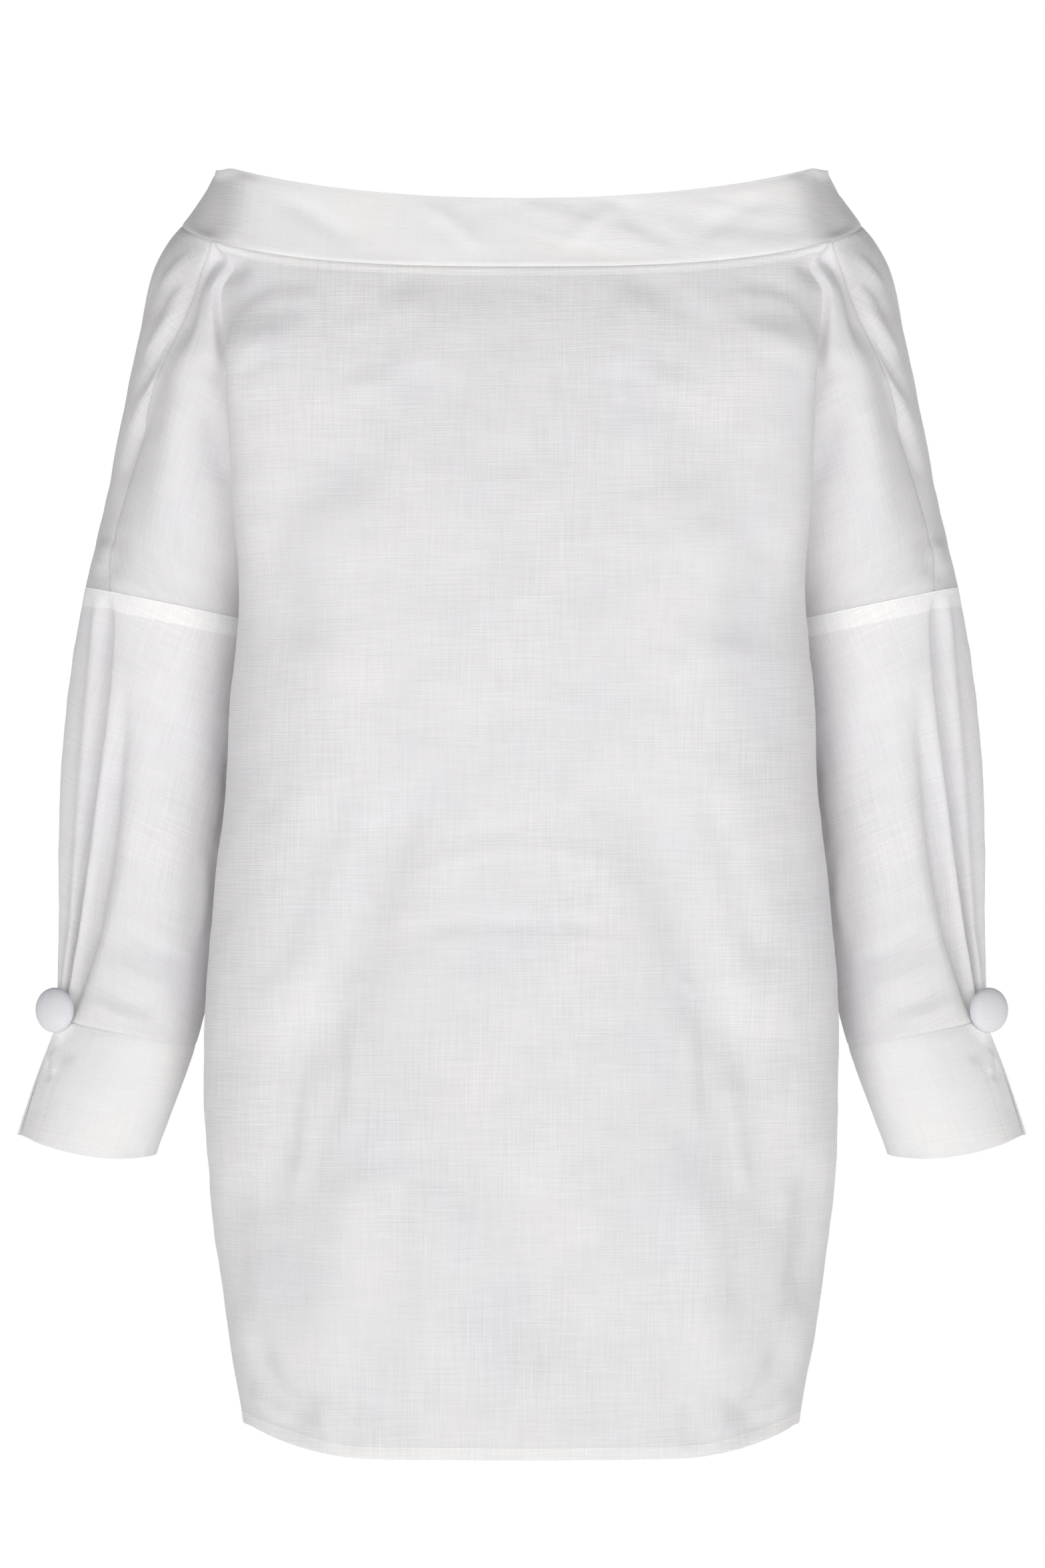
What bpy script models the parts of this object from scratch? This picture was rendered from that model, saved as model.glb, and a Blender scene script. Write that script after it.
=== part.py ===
"""Off-the-shoulder linen blouse, filled out as when it is worn, with nobody in it.

The frame is +Z up and the wearer faces -Y. The origin is the centre of the neckband ring,
where the shoulders hold the garment up. Left and right are the sides of the picture, so
the left sleeve is at -X.

Each piece that a maker cuts is one closed wall of cloth. Its outer face comes from level
sections, whose sizes stand in short tables, a row for each level, and the wall is laid
inwards from that face. Sizes are in millimetres, and MM turns them into metres.
"""

import math

import bmesh
import bpy
from mathutils import Vector

MM = 0.001

# Cloth, seams and mesh
CLOTH = 1.2
DOUBLE_CLOTH = 2.0
SEAM_GAP = 0.4
SLEEVE_CLEARANCE = 0.25
BODY_COLUMNS = 13
YOKE_LEVELS = (0, 0.04, 0.1, 0.18, 0.3, 0.42, 0.54, 0.66, 0.77, 0.86, 0.94, 1.0)
SKIRT_ROWS = 15
ARM_FRONT_COLUMNS = 7
ARM_BACK_COLUMNS = 11
SLEEVE_ROWS = 15
PLEAT_COLUMNS = 2
SLEEVE_FRONT_COLUMNS = 8
SLEEVE_BACK_COLUMNS = 12
BAND_COLUMNS = 72
BAND_ROWS = 2
CUFF_ROWS = 4
CUFF_COLUMNS = 28
NORMAL_STEP = 0.002
SHARP_ANGLE = math.radians(50)
UP = Vector((0, 0, 1))

# Neckband: an upright ring whose plan is an oval with flat front and back. Its edges rise
# from the middle to the ends, and halfway down it is a little narrower than a straight cone
BAND_SQUARENESS = 2.8
BAND_CENTRE_Y = 5.0
BAND_TOP = {"half_width": 183.5, "front": 93.0, "back": 80.0, "end_z": 29.5, "front_z": 1.5,
            "back_z": 9.0, "sag": 0.45, "end_dip": 4.0}
BAND_FOOT = {"half_width": 204.0, "front": 112.0, "back": 97.0, "end_z": -7.6, "front_z": -40.0,
             "back_z": -33.0, "sag": 0.0, "end_dip": 0.0}
BAND_END = 0.93
BAND_RISE = 1.75
BAND_HOLLOW = 0.006
CREASE_TURN = math.radians(53.6)

# Body below the band
BODY_SQUARENESS = 2.4
TURN_SHARE = 0.78
SIDE_FLATNESS = 0.7
BAND_BLEND = 0.32
UNDERARM_Z = -246.0
HEM_FRONT_Z = -737.0
HEM_BACK_Z = -736.0
HEM_SIDE_Z = -722.0
HEM_CURVE_START = 0.27
HEM_CURVE_END = 0.65


class Curve:
    """A smooth line through the values of one table column, read at any level."""

    def __init__(self, levels, values):
        order = sorted(range(len(levels)), key=lambda i: levels[i])
        self.x = [levels[i] for i in order]
        self.y = [values[i] for i in order]
        last = len(self.x) - 1
        steps = [(self.y[i + 1] - self.y[i]) / (self.x[i + 1] - self.x[i]) for i in range(last)]
        self.slope = [steps[0]]
        for i in range(1, last):
            before = self.x[i] - self.x[i - 1]
            after = self.x[i + 1] - self.x[i]
            self.slope.append((steps[i - 1] * after + steps[i] * before) / (before + after))
        self.slope.append(steps[-1])

    def __call__(self, level):
        if level <= self.x[0]:
            return self.y[0]
        if level >= self.x[-1]:
            return self.y[-1]
        i = 0
        while self.x[i + 1] < level:
            i += 1
        width = self.x[i + 1] - self.x[i]
        t = (level - self.x[i]) / width
        low = self.y[i] * (1 + 2 * t) * (1 - t) ** 2 + self.slope[i] * width * t * (1 - t) ** 2
        high = self.y[i + 1] * t * t * (3 - 2 * t) + self.slope[i + 1] * width * t * t * (t - 1)
        return low + high


def table(columns, rows):
    """Turn rows of sizes into one Curve for each named column after the first."""
    names = columns.split()
    levels = [row[0] for row in rows]
    return {name: Curve(levels, [row[i] for row in rows]) for i, name in enumerate(names) if i}


# Half widths and depths of the body at each height
BODY = table("z half_front front_depth half_back back_depth", [
    (-750, 162.5, 114, 161, 104),
    (-722, 165.5, 115, 164, 105),
    (-680, 172.5, 117, 170.5, 106),
    (-640, 178.3, 119, 176, 107),
    (-600, 183.6, 121, 180.5, 107),
    (-560, 186.8, 122, 182.5, 107),
    (-510, 188.6, 123, 183, 106),
    (-450, 187, 124, 180, 104),
    (-400, 182, 125, 175, 103),
    (-340, 175.5, 127, 170, 104),
    (-300, 174, 128, 169, 106),
    (-262, 170.5, 129, 165, 109),
    (-230, 168, 129, 165, 111),
    (-187, 170, 128, 168, 113),
    (-145, 172, 125, 170, 113),
    (-100, 174, 120, 172, 111),
    (-60, 177, 112.5, 175, 107),
    (-40, 178, 107, 177, 103),
])

# Yoke: from the band (0) to the underarm (1). The crease is where the arm leaves the body,
# sweep is how far round the arm goes from its outermost line to that crease, in degrees
YOKE = table("share crease_z outer_z crease_x outer_x centre_y front_reach back_reach "
             "sweep front_turn back_turn front_z back_z seam_share", [
    (0.00, -22.8, -7.6, -177, -204, 5, 74, 65, 80, -70, 70, -40, -33, 0.03),
    (0.05, -31, -16.5, -177, -211.5, 5, 74, 68, 81, -74, 75, -47, -41, 0.05),
    (0.12, -45, -30, -177.5, -218.9, 5, 74, 71, 82, -78, 81, -58, -52, 0.09),
    (0.25, -73, -57, -176, -226.5, 6, 73, 75, 88, -82, 90, -82, -79, 0.17),
    (0.45, -120, -102, -172, -236.5, 9, 69, 72, 100, -78, 90, -125, -124, 0.27),
    (0.70, -181, -161, -165, -248, 13, 62, 66, 122, -66, 82, -183, -183, 0.345),
    (0.87, -218, -197, -160, -256.5, 15, 58, 60, 146, -54, 70, -219, -219, 0.37),
    (1.00, -246, -224, -157, -263, 16, 56, 56, 180, -44, 60, -246, -246, 0.37),
])

# Folds of the upper arm, placed round it from the front crease (0) to the back one (1)
ARM_FOLD_LINES = table("share front_ridge seam_trough back_ridge back_trough", [
    (0.00, 0.05, 0.06, 0.95, 0.84),
    (0.20, 0.08, 0.15, 0.92, 0.80),
    (0.40, 0.15, 0.24, 0.87, 0.76),
    (0.58, 0.19, 0.31, 0.83, 0.72),
    (0.75, 0.217, 0.35, 0.80, 0.70),
    (1.00, 0.25, 0.38, 0.78, 0.68),
])
ARM_FOLDS = [
    # name, half width as a share of the way round, height
    ("front_ridge", 0.05, 3.5),
    ("seam_trough", 0.045, -2.5),
    ("back_ridge", 0.06, 2.5),
    ("back_trough", 0.07, -2.0),
]
ARM_FOLD_EDGE = 0.045
ARM_CORE_X = (-165.0, -209.0)

# Sides of the body below the underarm, tucked in where the sleeve hangs beside them
SIDE = table("z seam_x seam_y front_turn back_turn", [
    (-730, -164.2, 12, -28, 44),
    (-640, -176.5, 12, -32, 46),
    (-560, -184.5, 12, -36, 48),
    (-520, -183.5, 12, -38, 50),
    (-480, -178, 12, -38, 50),
    (-420, -166, 12, -40, 52),
    (-360, -154.5, 12, -40, 52),
    (-300, -150, 12, -40, 54),
    (-270, -152, 14, -42, 58),
    (-246, -157, 16, -44, 60),
])

# Sleeve: from the drop seam (0) to the cuff seam (1). Pinch draws the outer edge to a
# corner and forward carries that corner to the front
SLEEVE = table("share outer_z outer_x inner_z inner_x centre_y front_reach back_reach pinch forward", [
    (0.00, -224, -263, -246, -157, 16, 56, 56, 0.0, 0),
    (0.10, -250, -268, -271, -160.5, 18, 56, 56, 0.10, 0),
    (0.25, -290, -273.6, -311, -164, 20, 55, 55, 0.22, 2),
    (0.45, -342, -277.4, -363, -169.5, 20, 52, 53, 0.36, 5),
    (0.65, -394, -278, -414, -176.5, 16, 47, 48, 0.48, 9),
    (0.82, -438, -277.4, -456, -184, 8, 41, 42, 0.56, 13),
    (1.00, -483, -278, -499, -195.5, -2, 37, 36, 0.60, 16),
])

# Two pleats run from the drop seam to the button: how far round the front of the sleeve
# each valley and the ridge between them lie, in degrees, and how deep they are
PLEATS = table("share valley_1 ridge valley_2 depth_1 depth_ridge depth_2", [
    (0.00, 44, 54, 64, 0, 0, 0),
    (0.06, 46, 56, 66, 3.5, 0.5, 0),
    (0.25, 50, 60, 70, 6.5, 0.8, 1.5),
    (0.45, 46, 56, 67, 7.5, 1.0, 4.5),
    (0.65, 38, 49, 60, 7.5, 1.0, 6.5),
    (0.82, 29, 39, 49, 5.5, 1.0, 5.0),
    (1.00, 20, 28, 36, 0.8, 0.2, 0.8),
])
PLEAT_FADE_TURN = 18.0
PINCH_SWELL = 0.25

# Cuff: from the cuff seam (0) to its edge (1). Open is the half width of the slit, degrees
CUFF = table("share outer_z outer_x inner_z inner_x centre_y front_reach back_reach pinch forward open", [
    (0.0, -483, -278, -499, -195.5, -2, 37, 36, 0.60, 16, 13),
    (0.5, -517, -291.5, -532, -207, -8, 36, 37, 0.45, 14, 15),
    (1.0, -551.5, -303.5, -564, -218.5, -13, 35, 38, 0.30, 12, 17),
])
CUFF_EDGE_DIP = 4.8

# Soft folds of the body: where each starts and ends, its half width and its height
FOLDS = [
    # name, x and z at the top, x and z at the foot, half width, height
    ("left_drag", -70, -250, -132, -660, 24, -4.0),
    ("right_drag", 70, -250, 132, -660, 24, -4.0),
    ("left_roll", -104, -330, -158, -610, 20, 3.0),
    ("right_roll", 104, -330, 158, -610, 20, 3.0),
    ("left_hang", -38, -430, -64, -730, 18, 2.5),
    ("right_hang", 38, -430, 64, -730, 18, 2.5),
    ("left_bust", -120, -70, -92, -200, 26, -2.5),
    ("right_bust", 120, -70, 92, -200, 26, -2.5),
]

# Covered button
BUTTON_RADIUS = 13.4
BUTTON_EDGE = 1.0
BUTTON_DOME = 6.5
BUTTON_RIM = 1.6
BUTTON_TURN = math.radians(-32)
BUTTON_Z = -477.5
BUTTON_X = -277.7
BUTTON_Y = -24.1
BUTTON_SIDES = 28
BUTTON_RINGS = 5

LINEN = (0.86, 0.87, 0.90, 1.0)
DOUBLE_LINEN = (0.90, 0.90, 0.92, 1.0)
BUTTON_LINEN = (0.82, 0.84, 0.87, 1.0)


def smooth(value):
    """Ease a share from 0 to 1, level at both ends."""
    value = min(max(value, 0.0), 1.0)
    return value * value * (3 - 2 * value)


def mix(a, b, share):
    return a + (b - a) * share


def oval(turn, squareness):
    """Return how far across and how far forward an oval of half size 1 reaches."""
    across = math.sin(turn)
    forward = math.cos(turn)
    size = (abs(across) ** squareness + abs(forward) ** squareness) ** (-1 / squareness)
    return across * size, forward * size


def band_edge(edge, turn):
    """Return a point on an edge of the neckband, turn 0 at centre front, pi at centre back."""
    across, forward = oval(turn, BAND_SQUARENESS)
    reach = edge["front"] if forward > 0 else edge["back"]
    middle_z = edge["front_z"] if forward > 0 else edge["back_z"]
    sag = edge["sag"]
    drop = 1 - sag * across * across - (1 - sag) * (1 - abs(forward) ** BAND_RISE)
    z = mix(edge["end_z"], middle_z, drop)
    z -= edge["end_dip"] * smooth((abs(across) - BAND_END) / (1 - BAND_END))
    return Vector((-edge["half_width"] * across, BAND_CENTRE_Y - reach * forward, z))


def band_point(share, turn):
    """Return a point of the neckband, share 0 at its top edge, 1 at its foot."""
    top = band_edge(BAND_TOP, turn)
    foot = band_edge(BAND_FOOT, turn)
    point = top.lerp(foot, share)
    point.x *= 1 - BAND_HOLLOW * math.sin(math.pi * share)
    return point


def arm_section(share, around):
    """Return a point of the upper arm's own section, before it is eased into the band."""
    size = {name: curve(share) for name, curve in YOKE.items()}
    sweep = math.radians(size["sweep"])
    half = (size["crease_x"] - size["outer_x"]) / (1 - math.cos(sweep))
    turn = sweep * (2 * around - 1)
    reach = size["front_reach"] if turn < 0 else size["back_reach"]
    x = size["outer_x"] + half * (1 - math.cos(turn))
    y = size["centre_y"] + reach * math.sin(turn)
    inward = (x - size["outer_x"]) / (size["crease_x"] - size["outer_x"])
    return Vector((x, y, mix(size["outer_z"], size["crease_z"], inward)))


def ease_from_band(point, turn, moved, level):
    """Ease a point of the yoke into the band's foot, which it meets at level 0.

    moved is how far the cloth at this level has moved from the band's foot.
    """
    return (band_edge(BAND_FOOT, turn) + moved).lerp(point, smooth(level / BAND_BLEND))


def drift(level, turn, section_at):
    """Return how far a line of the yoke has moved from where it starts at the band's foot.

    section_at gives the line's own place at a level. Where that starts a little off the
    band, the difference is taken in gradually.
    """
    start = band_edge(BAND_FOOT, turn)
    late = 1 - smooth(level / BAND_BLEND)
    return (section_at(level) - start) - (section_at(0) - start) * late


def crease_drift(level, is_front):
    turn = CREASE_TURN if is_front else math.pi - CREASE_TURN
    return drift(level, turn, lambda share: arm_section(share, 0 if is_front else 1))


def arm_ring(share, around):
    """Return a point of the upper arm, around 0 at the front crease, 1 at the back one."""
    end_drift = drift(share, math.pi / 2, lambda level: arm_section(level, 0.5))
    moved = end_drift.lerp(crease_drift(share, around < 0.5), (2 * around - 1) ** 2)
    turn = mix(CREASE_TURN, math.pi - CREASE_TURN, around)
    point = ease_from_band(arm_section(share, around), turn, moved, share)
    outward = Vector((point.x - mix(ARM_CORE_X[0], ARM_CORE_X[1], share), point.y - BAND_CENTRE_Y, 0))
    return point + outward.normalized() * arm_fold_height(share, around)


def arm_fold_height(share, around):
    """Return how far the folds lift the upper arm's cloth, nothing at its edges."""
    height = 0.0
    for name, half_width, lift in ARM_FOLDS:
        away = (around - ARM_FOLD_LINES[name](share)) / half_width
        height += lift * math.exp(-away * away)
    return height * math.sin(math.pi * share) * smooth(around * (1 - around) / ARM_FOLD_EDGE)


def fold_height(x, z):
    """Return how far the soft folds lift the body's cloth at a place."""
    height = 0.0
    for _, x_top, z_top, x_foot, z_foot, half_width, lift in FOLDS:
        along = (z_top - z) / (z_top - z_foot)
        if 0 < along < 1:
            middle = mix(x_top, x_foot, along)
            height += lift * math.exp(-((x - middle) / half_width) ** 2) * math.sin(math.pi * along)
    return height


def body_point(level, share, is_front):
    """Return a point of the body's left half.

    share is 0 at the centre and 1 at the arm's crease or the side seam. level is 0 at the
    band, 1 at the underarm and 2 at the hem.
    """
    face = "front" if is_front else "back"
    if level <= 1:
        edge = arm_section(level, 0 if is_front else 1)
        centre_z = YOKE[face + "_z"](level)
        side_turn = YOKE[face + "_turn"](level)
    else:
        centre_z = mix(UNDERARM_Z, HEM_FRONT_Z if is_front else HEM_BACK_Z, level - 1)
        edge_z = mix(UNDERARM_Z, HEM_SIDE_Z, level - 1)
        edge = Vector((SIDE["seam_x"](edge_z), SIDE["seam_y"](edge_z), edge_z))
        side_turn = SIDE[face + "_turn"](edge_z)
    hem_ease = smooth((share - HEM_CURVE_START) / (HEM_CURVE_END - HEM_CURVE_START))
    ease = mix(share * share, hem_ease, max(level - 1, 0.0))
    z = mix(centre_z, edge.z, ease)
    half_width = BODY["half_" + face](z)
    forward_sign = -1 if is_front else 1
    depth = forward_sign * BODY[face + "_depth"](z)
    if share <= TURN_SHARE:
        across, forward = oval(share / TURN_SHARE * math.pi / 2, BODY_SQUARENESS)
        x = -half_width * across
        y = mix(side_turn, depth, forward) + forward_sign * fold_height(x, z) * forward
    else:
        round_side = (share - TURN_SHARE) / (1 - TURN_SHARE)
        x = mix(-half_width, edge.x, smooth(round_side ** SIDE_FLATNESS))
        y = mix(side_turn, edge.y, round_side)
    if level >= BAND_BLEND:
        return Vector((x, y, z))
    turn = CREASE_TURN * share if is_front else math.pi - CREASE_TURN * share

    def middle_at(share):
        middle_z = YOKE[face + "_z"](share)
        return Vector((0, forward_sign * BODY[face + "_depth"](middle_z), middle_z))

    middle_drift = drift(level, 0 if is_front else math.pi, middle_at)
    moved = middle_drift.lerp(crease_drift(level, is_front), share * share)
    return ease_from_band(Vector((x, y, z)), turn, moved, level)


def tube_point(size, turn, depth):
    """Return a point of a sleeve or cuff section, turn 0 at its outer corner."""
    half = (size["inner_x"] - size["outer_x"]) / 2
    reach = size["front_reach"] if turn < 0 else size["back_reach"]
    narrowing = abs(math.sin(turn / 2)) ** size["pinch"]
    x = size["outer_x"] + half * (1 - math.cos(turn))
    y = size["centre_y"] + reach * math.sin(turn) * narrowing * (1 + PINCH_SWELL * size["pinch"])
    outward = (size["inner_x"] - x) / (2 * half)
    z = mix(size["inner_z"], size["outer_z"], outward)
    inward = Vector((size["outer_x"] + half - x, size["centre_y"] - y, 0)).normalized()
    y -= size["forward"] * outward * outward
    return Vector((x, y, z)) + inward * depth


def sleeve_columns():
    """List the columns round a sleeve, each a place along the marks that follow.

    Marks 0 to 4 are the corner, the first valley, the ridge, the second valley and the
    plain front, 5 is the inner side and 6 the corner again, reached round the back.
    """
    columns = [i / PLEAT_COLUMNS for i in range(4 * PLEAT_COLUMNS)]
    columns += [4 + i / SLEEVE_FRONT_COLUMNS for i in range(SLEEVE_FRONT_COLUMNS)]
    columns += [5 + i / SLEEVE_BACK_COLUMNS for i in range(SLEEVE_BACK_COLUMNS)]
    return columns


def sleeve_point(share, place):
    """Return a point of the left sleeve, share 0 at the drop seam, 1 at the cuff seam."""
    pleat = {name: curve(share) for name, curve in PLEATS.items()}
    plain_front = -pleat["valley_2"] - PLEAT_FADE_TURN
    marks = [0, -pleat["valley_1"], -pleat["ridge"], -pleat["valley_2"], plain_front, -180, -360]
    depths = [0, pleat["depth_1"], pleat["depth_ridge"], pleat["depth_2"], 0, 0, 0]
    step = min(int(place), 5)
    within = place - step
    turn = math.radians(mix(marks[step], marks[step + 1], within))
    depth = mix(depths[step], depths[step + 1], smooth(within))
    if turn <= -math.pi:
        turn += 2 * math.pi
    return tube_point({name: curve(share) for name, curve in SLEEVE.items()}, turn, depth)


def cuff_point(share, around):
    """Return a point of the left cuff, around 0 at the front flap's edge, 1 at the back's."""
    size = {name: curve(share) for name, curve in CUFF.items()}
    open_turn = math.radians(size["open"])
    turn = -mix(open_turn, 2 * math.pi - open_turn, around)
    if turn <= -math.pi:
        turn += 2 * math.pi
    point = tube_point(size, turn, 0)
    point.z -= CUFF_EDGE_DIP * share * share * math.sin(2 * math.pi * around) ** 2
    return point


# Axes of the seams round the sleeve: square to the level section that the seam follows
DROP_SEAM_AXIS = Vector((SLEEVE["outer_z"](0) - SLEEVE["inner_z"](0), 0,
                         SLEEVE["inner_x"](0) - SLEEVE["outer_x"](0))).normalized()
CUFF_SEAM_AXIS = Vector((CUFF["outer_z"](0) - CUFF["inner_z"](0), 0,
                         CUFF["inner_x"](0) - CUFF["outer_x"](0))).normalized()


def linen(name, colour):
    material = bpy.data.materials.new(name)
    material.use_nodes = True
    shader = material.node_tree.nodes["Principled BSDF"]
    shader.inputs["Base Color"].default_value = colour
    shader.inputs["Roughness"].default_value = 0.9
    shader.inputs["Metallic"].default_value = 0.0
    return material


def surface_normal(function, first, second, first_ends, second_ends, outward_sign):
    """Return the direction that a surface faces, from four points close round a place."""
    ends = []
    for value, (low, high) in ((first, first_ends), (second, second_ends)):
        ends.append((max(value - NORMAL_STEP, low), min(value + NORMAL_STEP, high)))
    along_first = function(ends[0][1], second) - function(ends[0][0], second)
    along_second = function(first, ends[1][1]) - function(first, ends[1][0])
    return along_second.cross(along_first).normalized() * outward_sign


def flattened(direction, axis):
    """Take out of a direction what runs along a seam's axis."""
    return (direction - axis * direction.dot(axis)).normalized()


def grid_of(function, levels, places_at, outward_sign, place_ends, level_ends, seams):
    """List rows of (point, facing) for function(level, place).

    seams gives, for a row's level, the axis of the seam there: the cloth's edge is cut
    square to that axis, so that it meets the next piece face to face.
    """
    rows = []
    for level in levels:
        row = []
        for place in places_at(level):
            facing = surface_normal(function, level, place, level_ends, place_ends, outward_sign)
            if level in seams:
                facing = flattened(facing, seams[level])
            row.append((function(level, place), facing))
        rows.append(row)
    return rows


def mirrored(rows):
    across = Vector((-1, 1, 1))
    return [[(point * across, facing * across) for point, facing in row] for row in rows]


def make_wall(name, grids, thickness, shift, material):
    """Join grids of outer points into one sheet and lay its cloth inwards.

    Both faces of the cloth are split into triangles the same way, so that they stay apart.

    A grid is (rows, closed), where closed joins the last column to the first. Points that
    two grids share become one, which faces halfway, and down where the cloth folds back on
    itself under the arm.
    """
    places = {}
    facings = {}
    quads = []
    for rows, closed in grids:
        lines = []
        for row in rows:
            line = []
            for point, facing in row:
                key = tuple(round(value, 3) for value in point)
                places[key] = point
                facings.setdefault(key, []).append(facing)
                line.append(key)
            lines.append(line)
        for upper, lower in zip(lines, lines[1:]):
            count = len(upper)
            for i in range(count if closed else count - 1):
                after = (i + 1) % count
                quads.append((upper[i], upper[after], lower[after], lower[i]))
    wall = bmesh.new()
    outer = {}
    inner = {}
    for key, point in places.items():
        facing = sum(facings[key], Vector())
        foldedness = (len(facings[key]) - facing.length) / 2
        facing = (facing - UP * foldedness).normalized()
        outer[key] = wall.verts.new((point + shift) * MM)
        inner[key] = wall.verts.new((point + shift - facing * thickness) * MM)
    uses = {}
    for quad in quads:
        a, b, c, d = quad
        short_way = (places[a] - places[c]).length < (places[b] - places[d]).length
        for triangle in ((a, b, c), (a, c, d)) if short_way else ((a, b, d), (b, c, d)):
            wall.faces.new([outer[key] for key in triangle])
            wall.faces.new([inner[key] for key in reversed(triangle)])
        for a, b in zip(quad, quad[1:] + quad[:1]):
            edge = frozenset((a, b))
            uses[edge] = uses.get(edge, 0) + 1
    for edge, count in uses.items():
        if count == 1:
            a, b = edge
            wall.faces.new((outer[a], outer[b], inner[b], inner[a]))
    finish_piece(name, wall, material)


def finish_piece(name, shape, material):
    """Turn a closed bmesh into a named object, smooth but for its cut edges."""
    bmesh.ops.recalc_face_normals(shape, faces=shape.faces)
    mesh = bpy.data.meshes.new(name)
    shape.to_mesh(mesh)
    shape.free()
    mesh.shade_smooth()
    mesh.set_sharp_from_angle(angle=SHARP_ANGLE)
    mesh.materials.append(material)
    bpy.context.collection.objects.link(bpy.data.objects.new(name, mesh))


def make_neckband(material):
    turns = [2 * math.pi * i / BAND_COLUMNS for i in range(BAND_COLUMNS)]
    levels = [row / BAND_ROWS for row in range(BAND_ROWS + 1)]
    rows = grid_of(band_point, levels, lambda level: turns, 1, (-1, 7), (0, 1), {1.0: UP})
    make_wall("neckband", [(rows, True)], DOUBLE_CLOTH, Vector(), material)


def make_body(name, material):
    """Make the front or the back: the body and, on each side, its half of the upper arm."""
    is_front = name == "front"
    forward = -1 if is_front else 1
    levels = list(YOKE_LEVELS) + [1 + (row + 1) / SKIRT_ROWS for row in range(SKIRT_ROWS)]
    shares = [column / BODY_COLUMNS for column in range(BODY_COLUMNS + 1)]
    left = grid_of(lambda level, share: body_point(level, share, is_front), levels,
                   lambda level: shares, -forward, (0, 1), (0, 2), {0: UP})
    body = [row[:0:-1] + other for row, other in zip(left, mirrored(left))]
    columns = ARM_FRONT_COLUMNS if is_front else ARM_BACK_COLUMNS

    def arm_places(level):
        seam = YOKE["seam_share"](level)
        crease = 0 if is_front else 1
        return [mix(crease, seam, i / columns) for i in range(columns + 1)]

    arm = grid_of(arm_ring, YOKE_LEVELS, arm_places, 1, (0, 1), (0, 1), {0: UP, 1.0: DROP_SEAM_AXIS})
    shift = Vector((0, forward * SEAM_GAP / 2, -SEAM_GAP))
    make_wall(name, [(body, False), (arm, False), (mirrored(arm), False)], CLOTH, shift, material)


def make_sleeves(material):
    columns = sleeve_columns()
    levels = [row / SLEEVE_ROWS for row in range(SLEEVE_ROWS + 1)]
    rows = grid_of(sleeve_point, levels, lambda level: columns, -1, (-1, 7), (0, 1),
                   {0.0: DROP_SEAM_AXIS, 1.0: CUFF_SEAM_AXIS})
    for name, side, outer in (("sleeve_left", -1, rows), ("sleeve_right", 1, mirrored(rows))):
        shift = Vector((side * SLEEVE_CLEARANCE, 0, -2 * SEAM_GAP))
        make_wall(name, [(outer, True)], CLOTH, shift, material)


def make_cuffs(material):
    places = [i / CUFF_COLUMNS for i in range(CUFF_COLUMNS + 1)]
    levels = [row / CUFF_ROWS for row in range(CUFF_ROWS + 1)]
    rows = grid_of(cuff_point, levels, lambda level: places, -1, (0, 1), (0, 1), {0.0: CUFF_SEAM_AXIS})
    shift = Vector((0, 0, -3 * SEAM_GAP))
    make_wall("cuff_left", [(rows, False)], DOUBLE_CLOTH, shift, material)
    make_wall("cuff_right", [(mirrored(rows), False)], DOUBLE_CLOTH, shift, material)


def make_button(name, side, material):
    """Make a covered button: a flat back, a short rim and a dome, turned to the front."""
    button = bmesh.new()
    rings = [(BUTTON_RADIUS - BUTTON_EDGE, 0.0), (BUTTON_RADIUS, BUTTON_RIM)]
    for step in range(1, BUTTON_RINGS):
        tilt = step / BUTTON_RINGS * math.pi / 2
        rings.append((BUTTON_RADIUS * math.cos(tilt), BUTTON_RIM + BUTTON_DOME * math.sin(tilt)))
    facing = Vector((side * -math.sin(BUTTON_TURN), -math.cos(BUTTON_TURN), 0))
    across = UP.cross(facing)
    centre = Vector((-side * BUTTON_X, BUTTON_Y, BUTTON_Z))
    lines = []
    for radius, height in rings:
        line = []
        for i in range(BUTTON_SIDES):
            angle = 2 * math.pi * i / BUTTON_SIDES
            place = across * math.cos(angle) + UP * math.sin(angle)
            line.append(button.verts.new((centre + place * radius + facing * height) * MM))
        lines.append(line)
    for lower, upper in zip(lines, lines[1:]):
        for i in range(BUTTON_SIDES):
            after = (i + 1) % BUTTON_SIDES
            button.faces.new((lower[i], lower[after], upper[after], upper[i]))
    tip = button.verts.new((centre + facing * (BUTTON_RIM + BUTTON_DOME)) * MM)
    base = button.verts.new(centre * MM)
    for i in range(BUTTON_SIDES):
        after = (i + 1) % BUTTON_SIDES
        button.faces.new((lines[-1][i], lines[-1][after], tip))
        button.faces.new((lines[0][after], lines[0][i], base))
    finish_piece(name, button, material)


def main():
    for old in list(bpy.data.objects):
        bpy.data.objects.remove(old)
    single = linen("white_linen", LINEN)
    double = linen("white_linen_double", DOUBLE_LINEN)
    covering = linen("white_linen_button", BUTTON_LINEN)
    make_neckband(double)
    make_body("front", single)
    make_body("back", single)
    make_sleeves(single)
    make_cuffs(double)
    make_button("button_left", -1, covering)
    make_button("button_right", 1, covering)


main()
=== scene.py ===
"""Looks of the off-the-shoulder linen blouse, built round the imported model.

Each piece of cloth is a fine thin shell on the form of its solid: the shape functions below
work out the same sections as the model's own source, on a finer grid, and soft creases are
laid on them. Lengths are in millimetres until a mesh is made, and MM turns them into metres.
Left and right are the sides of the picture, and the wearer faces -Y.
"""

import math

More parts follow.
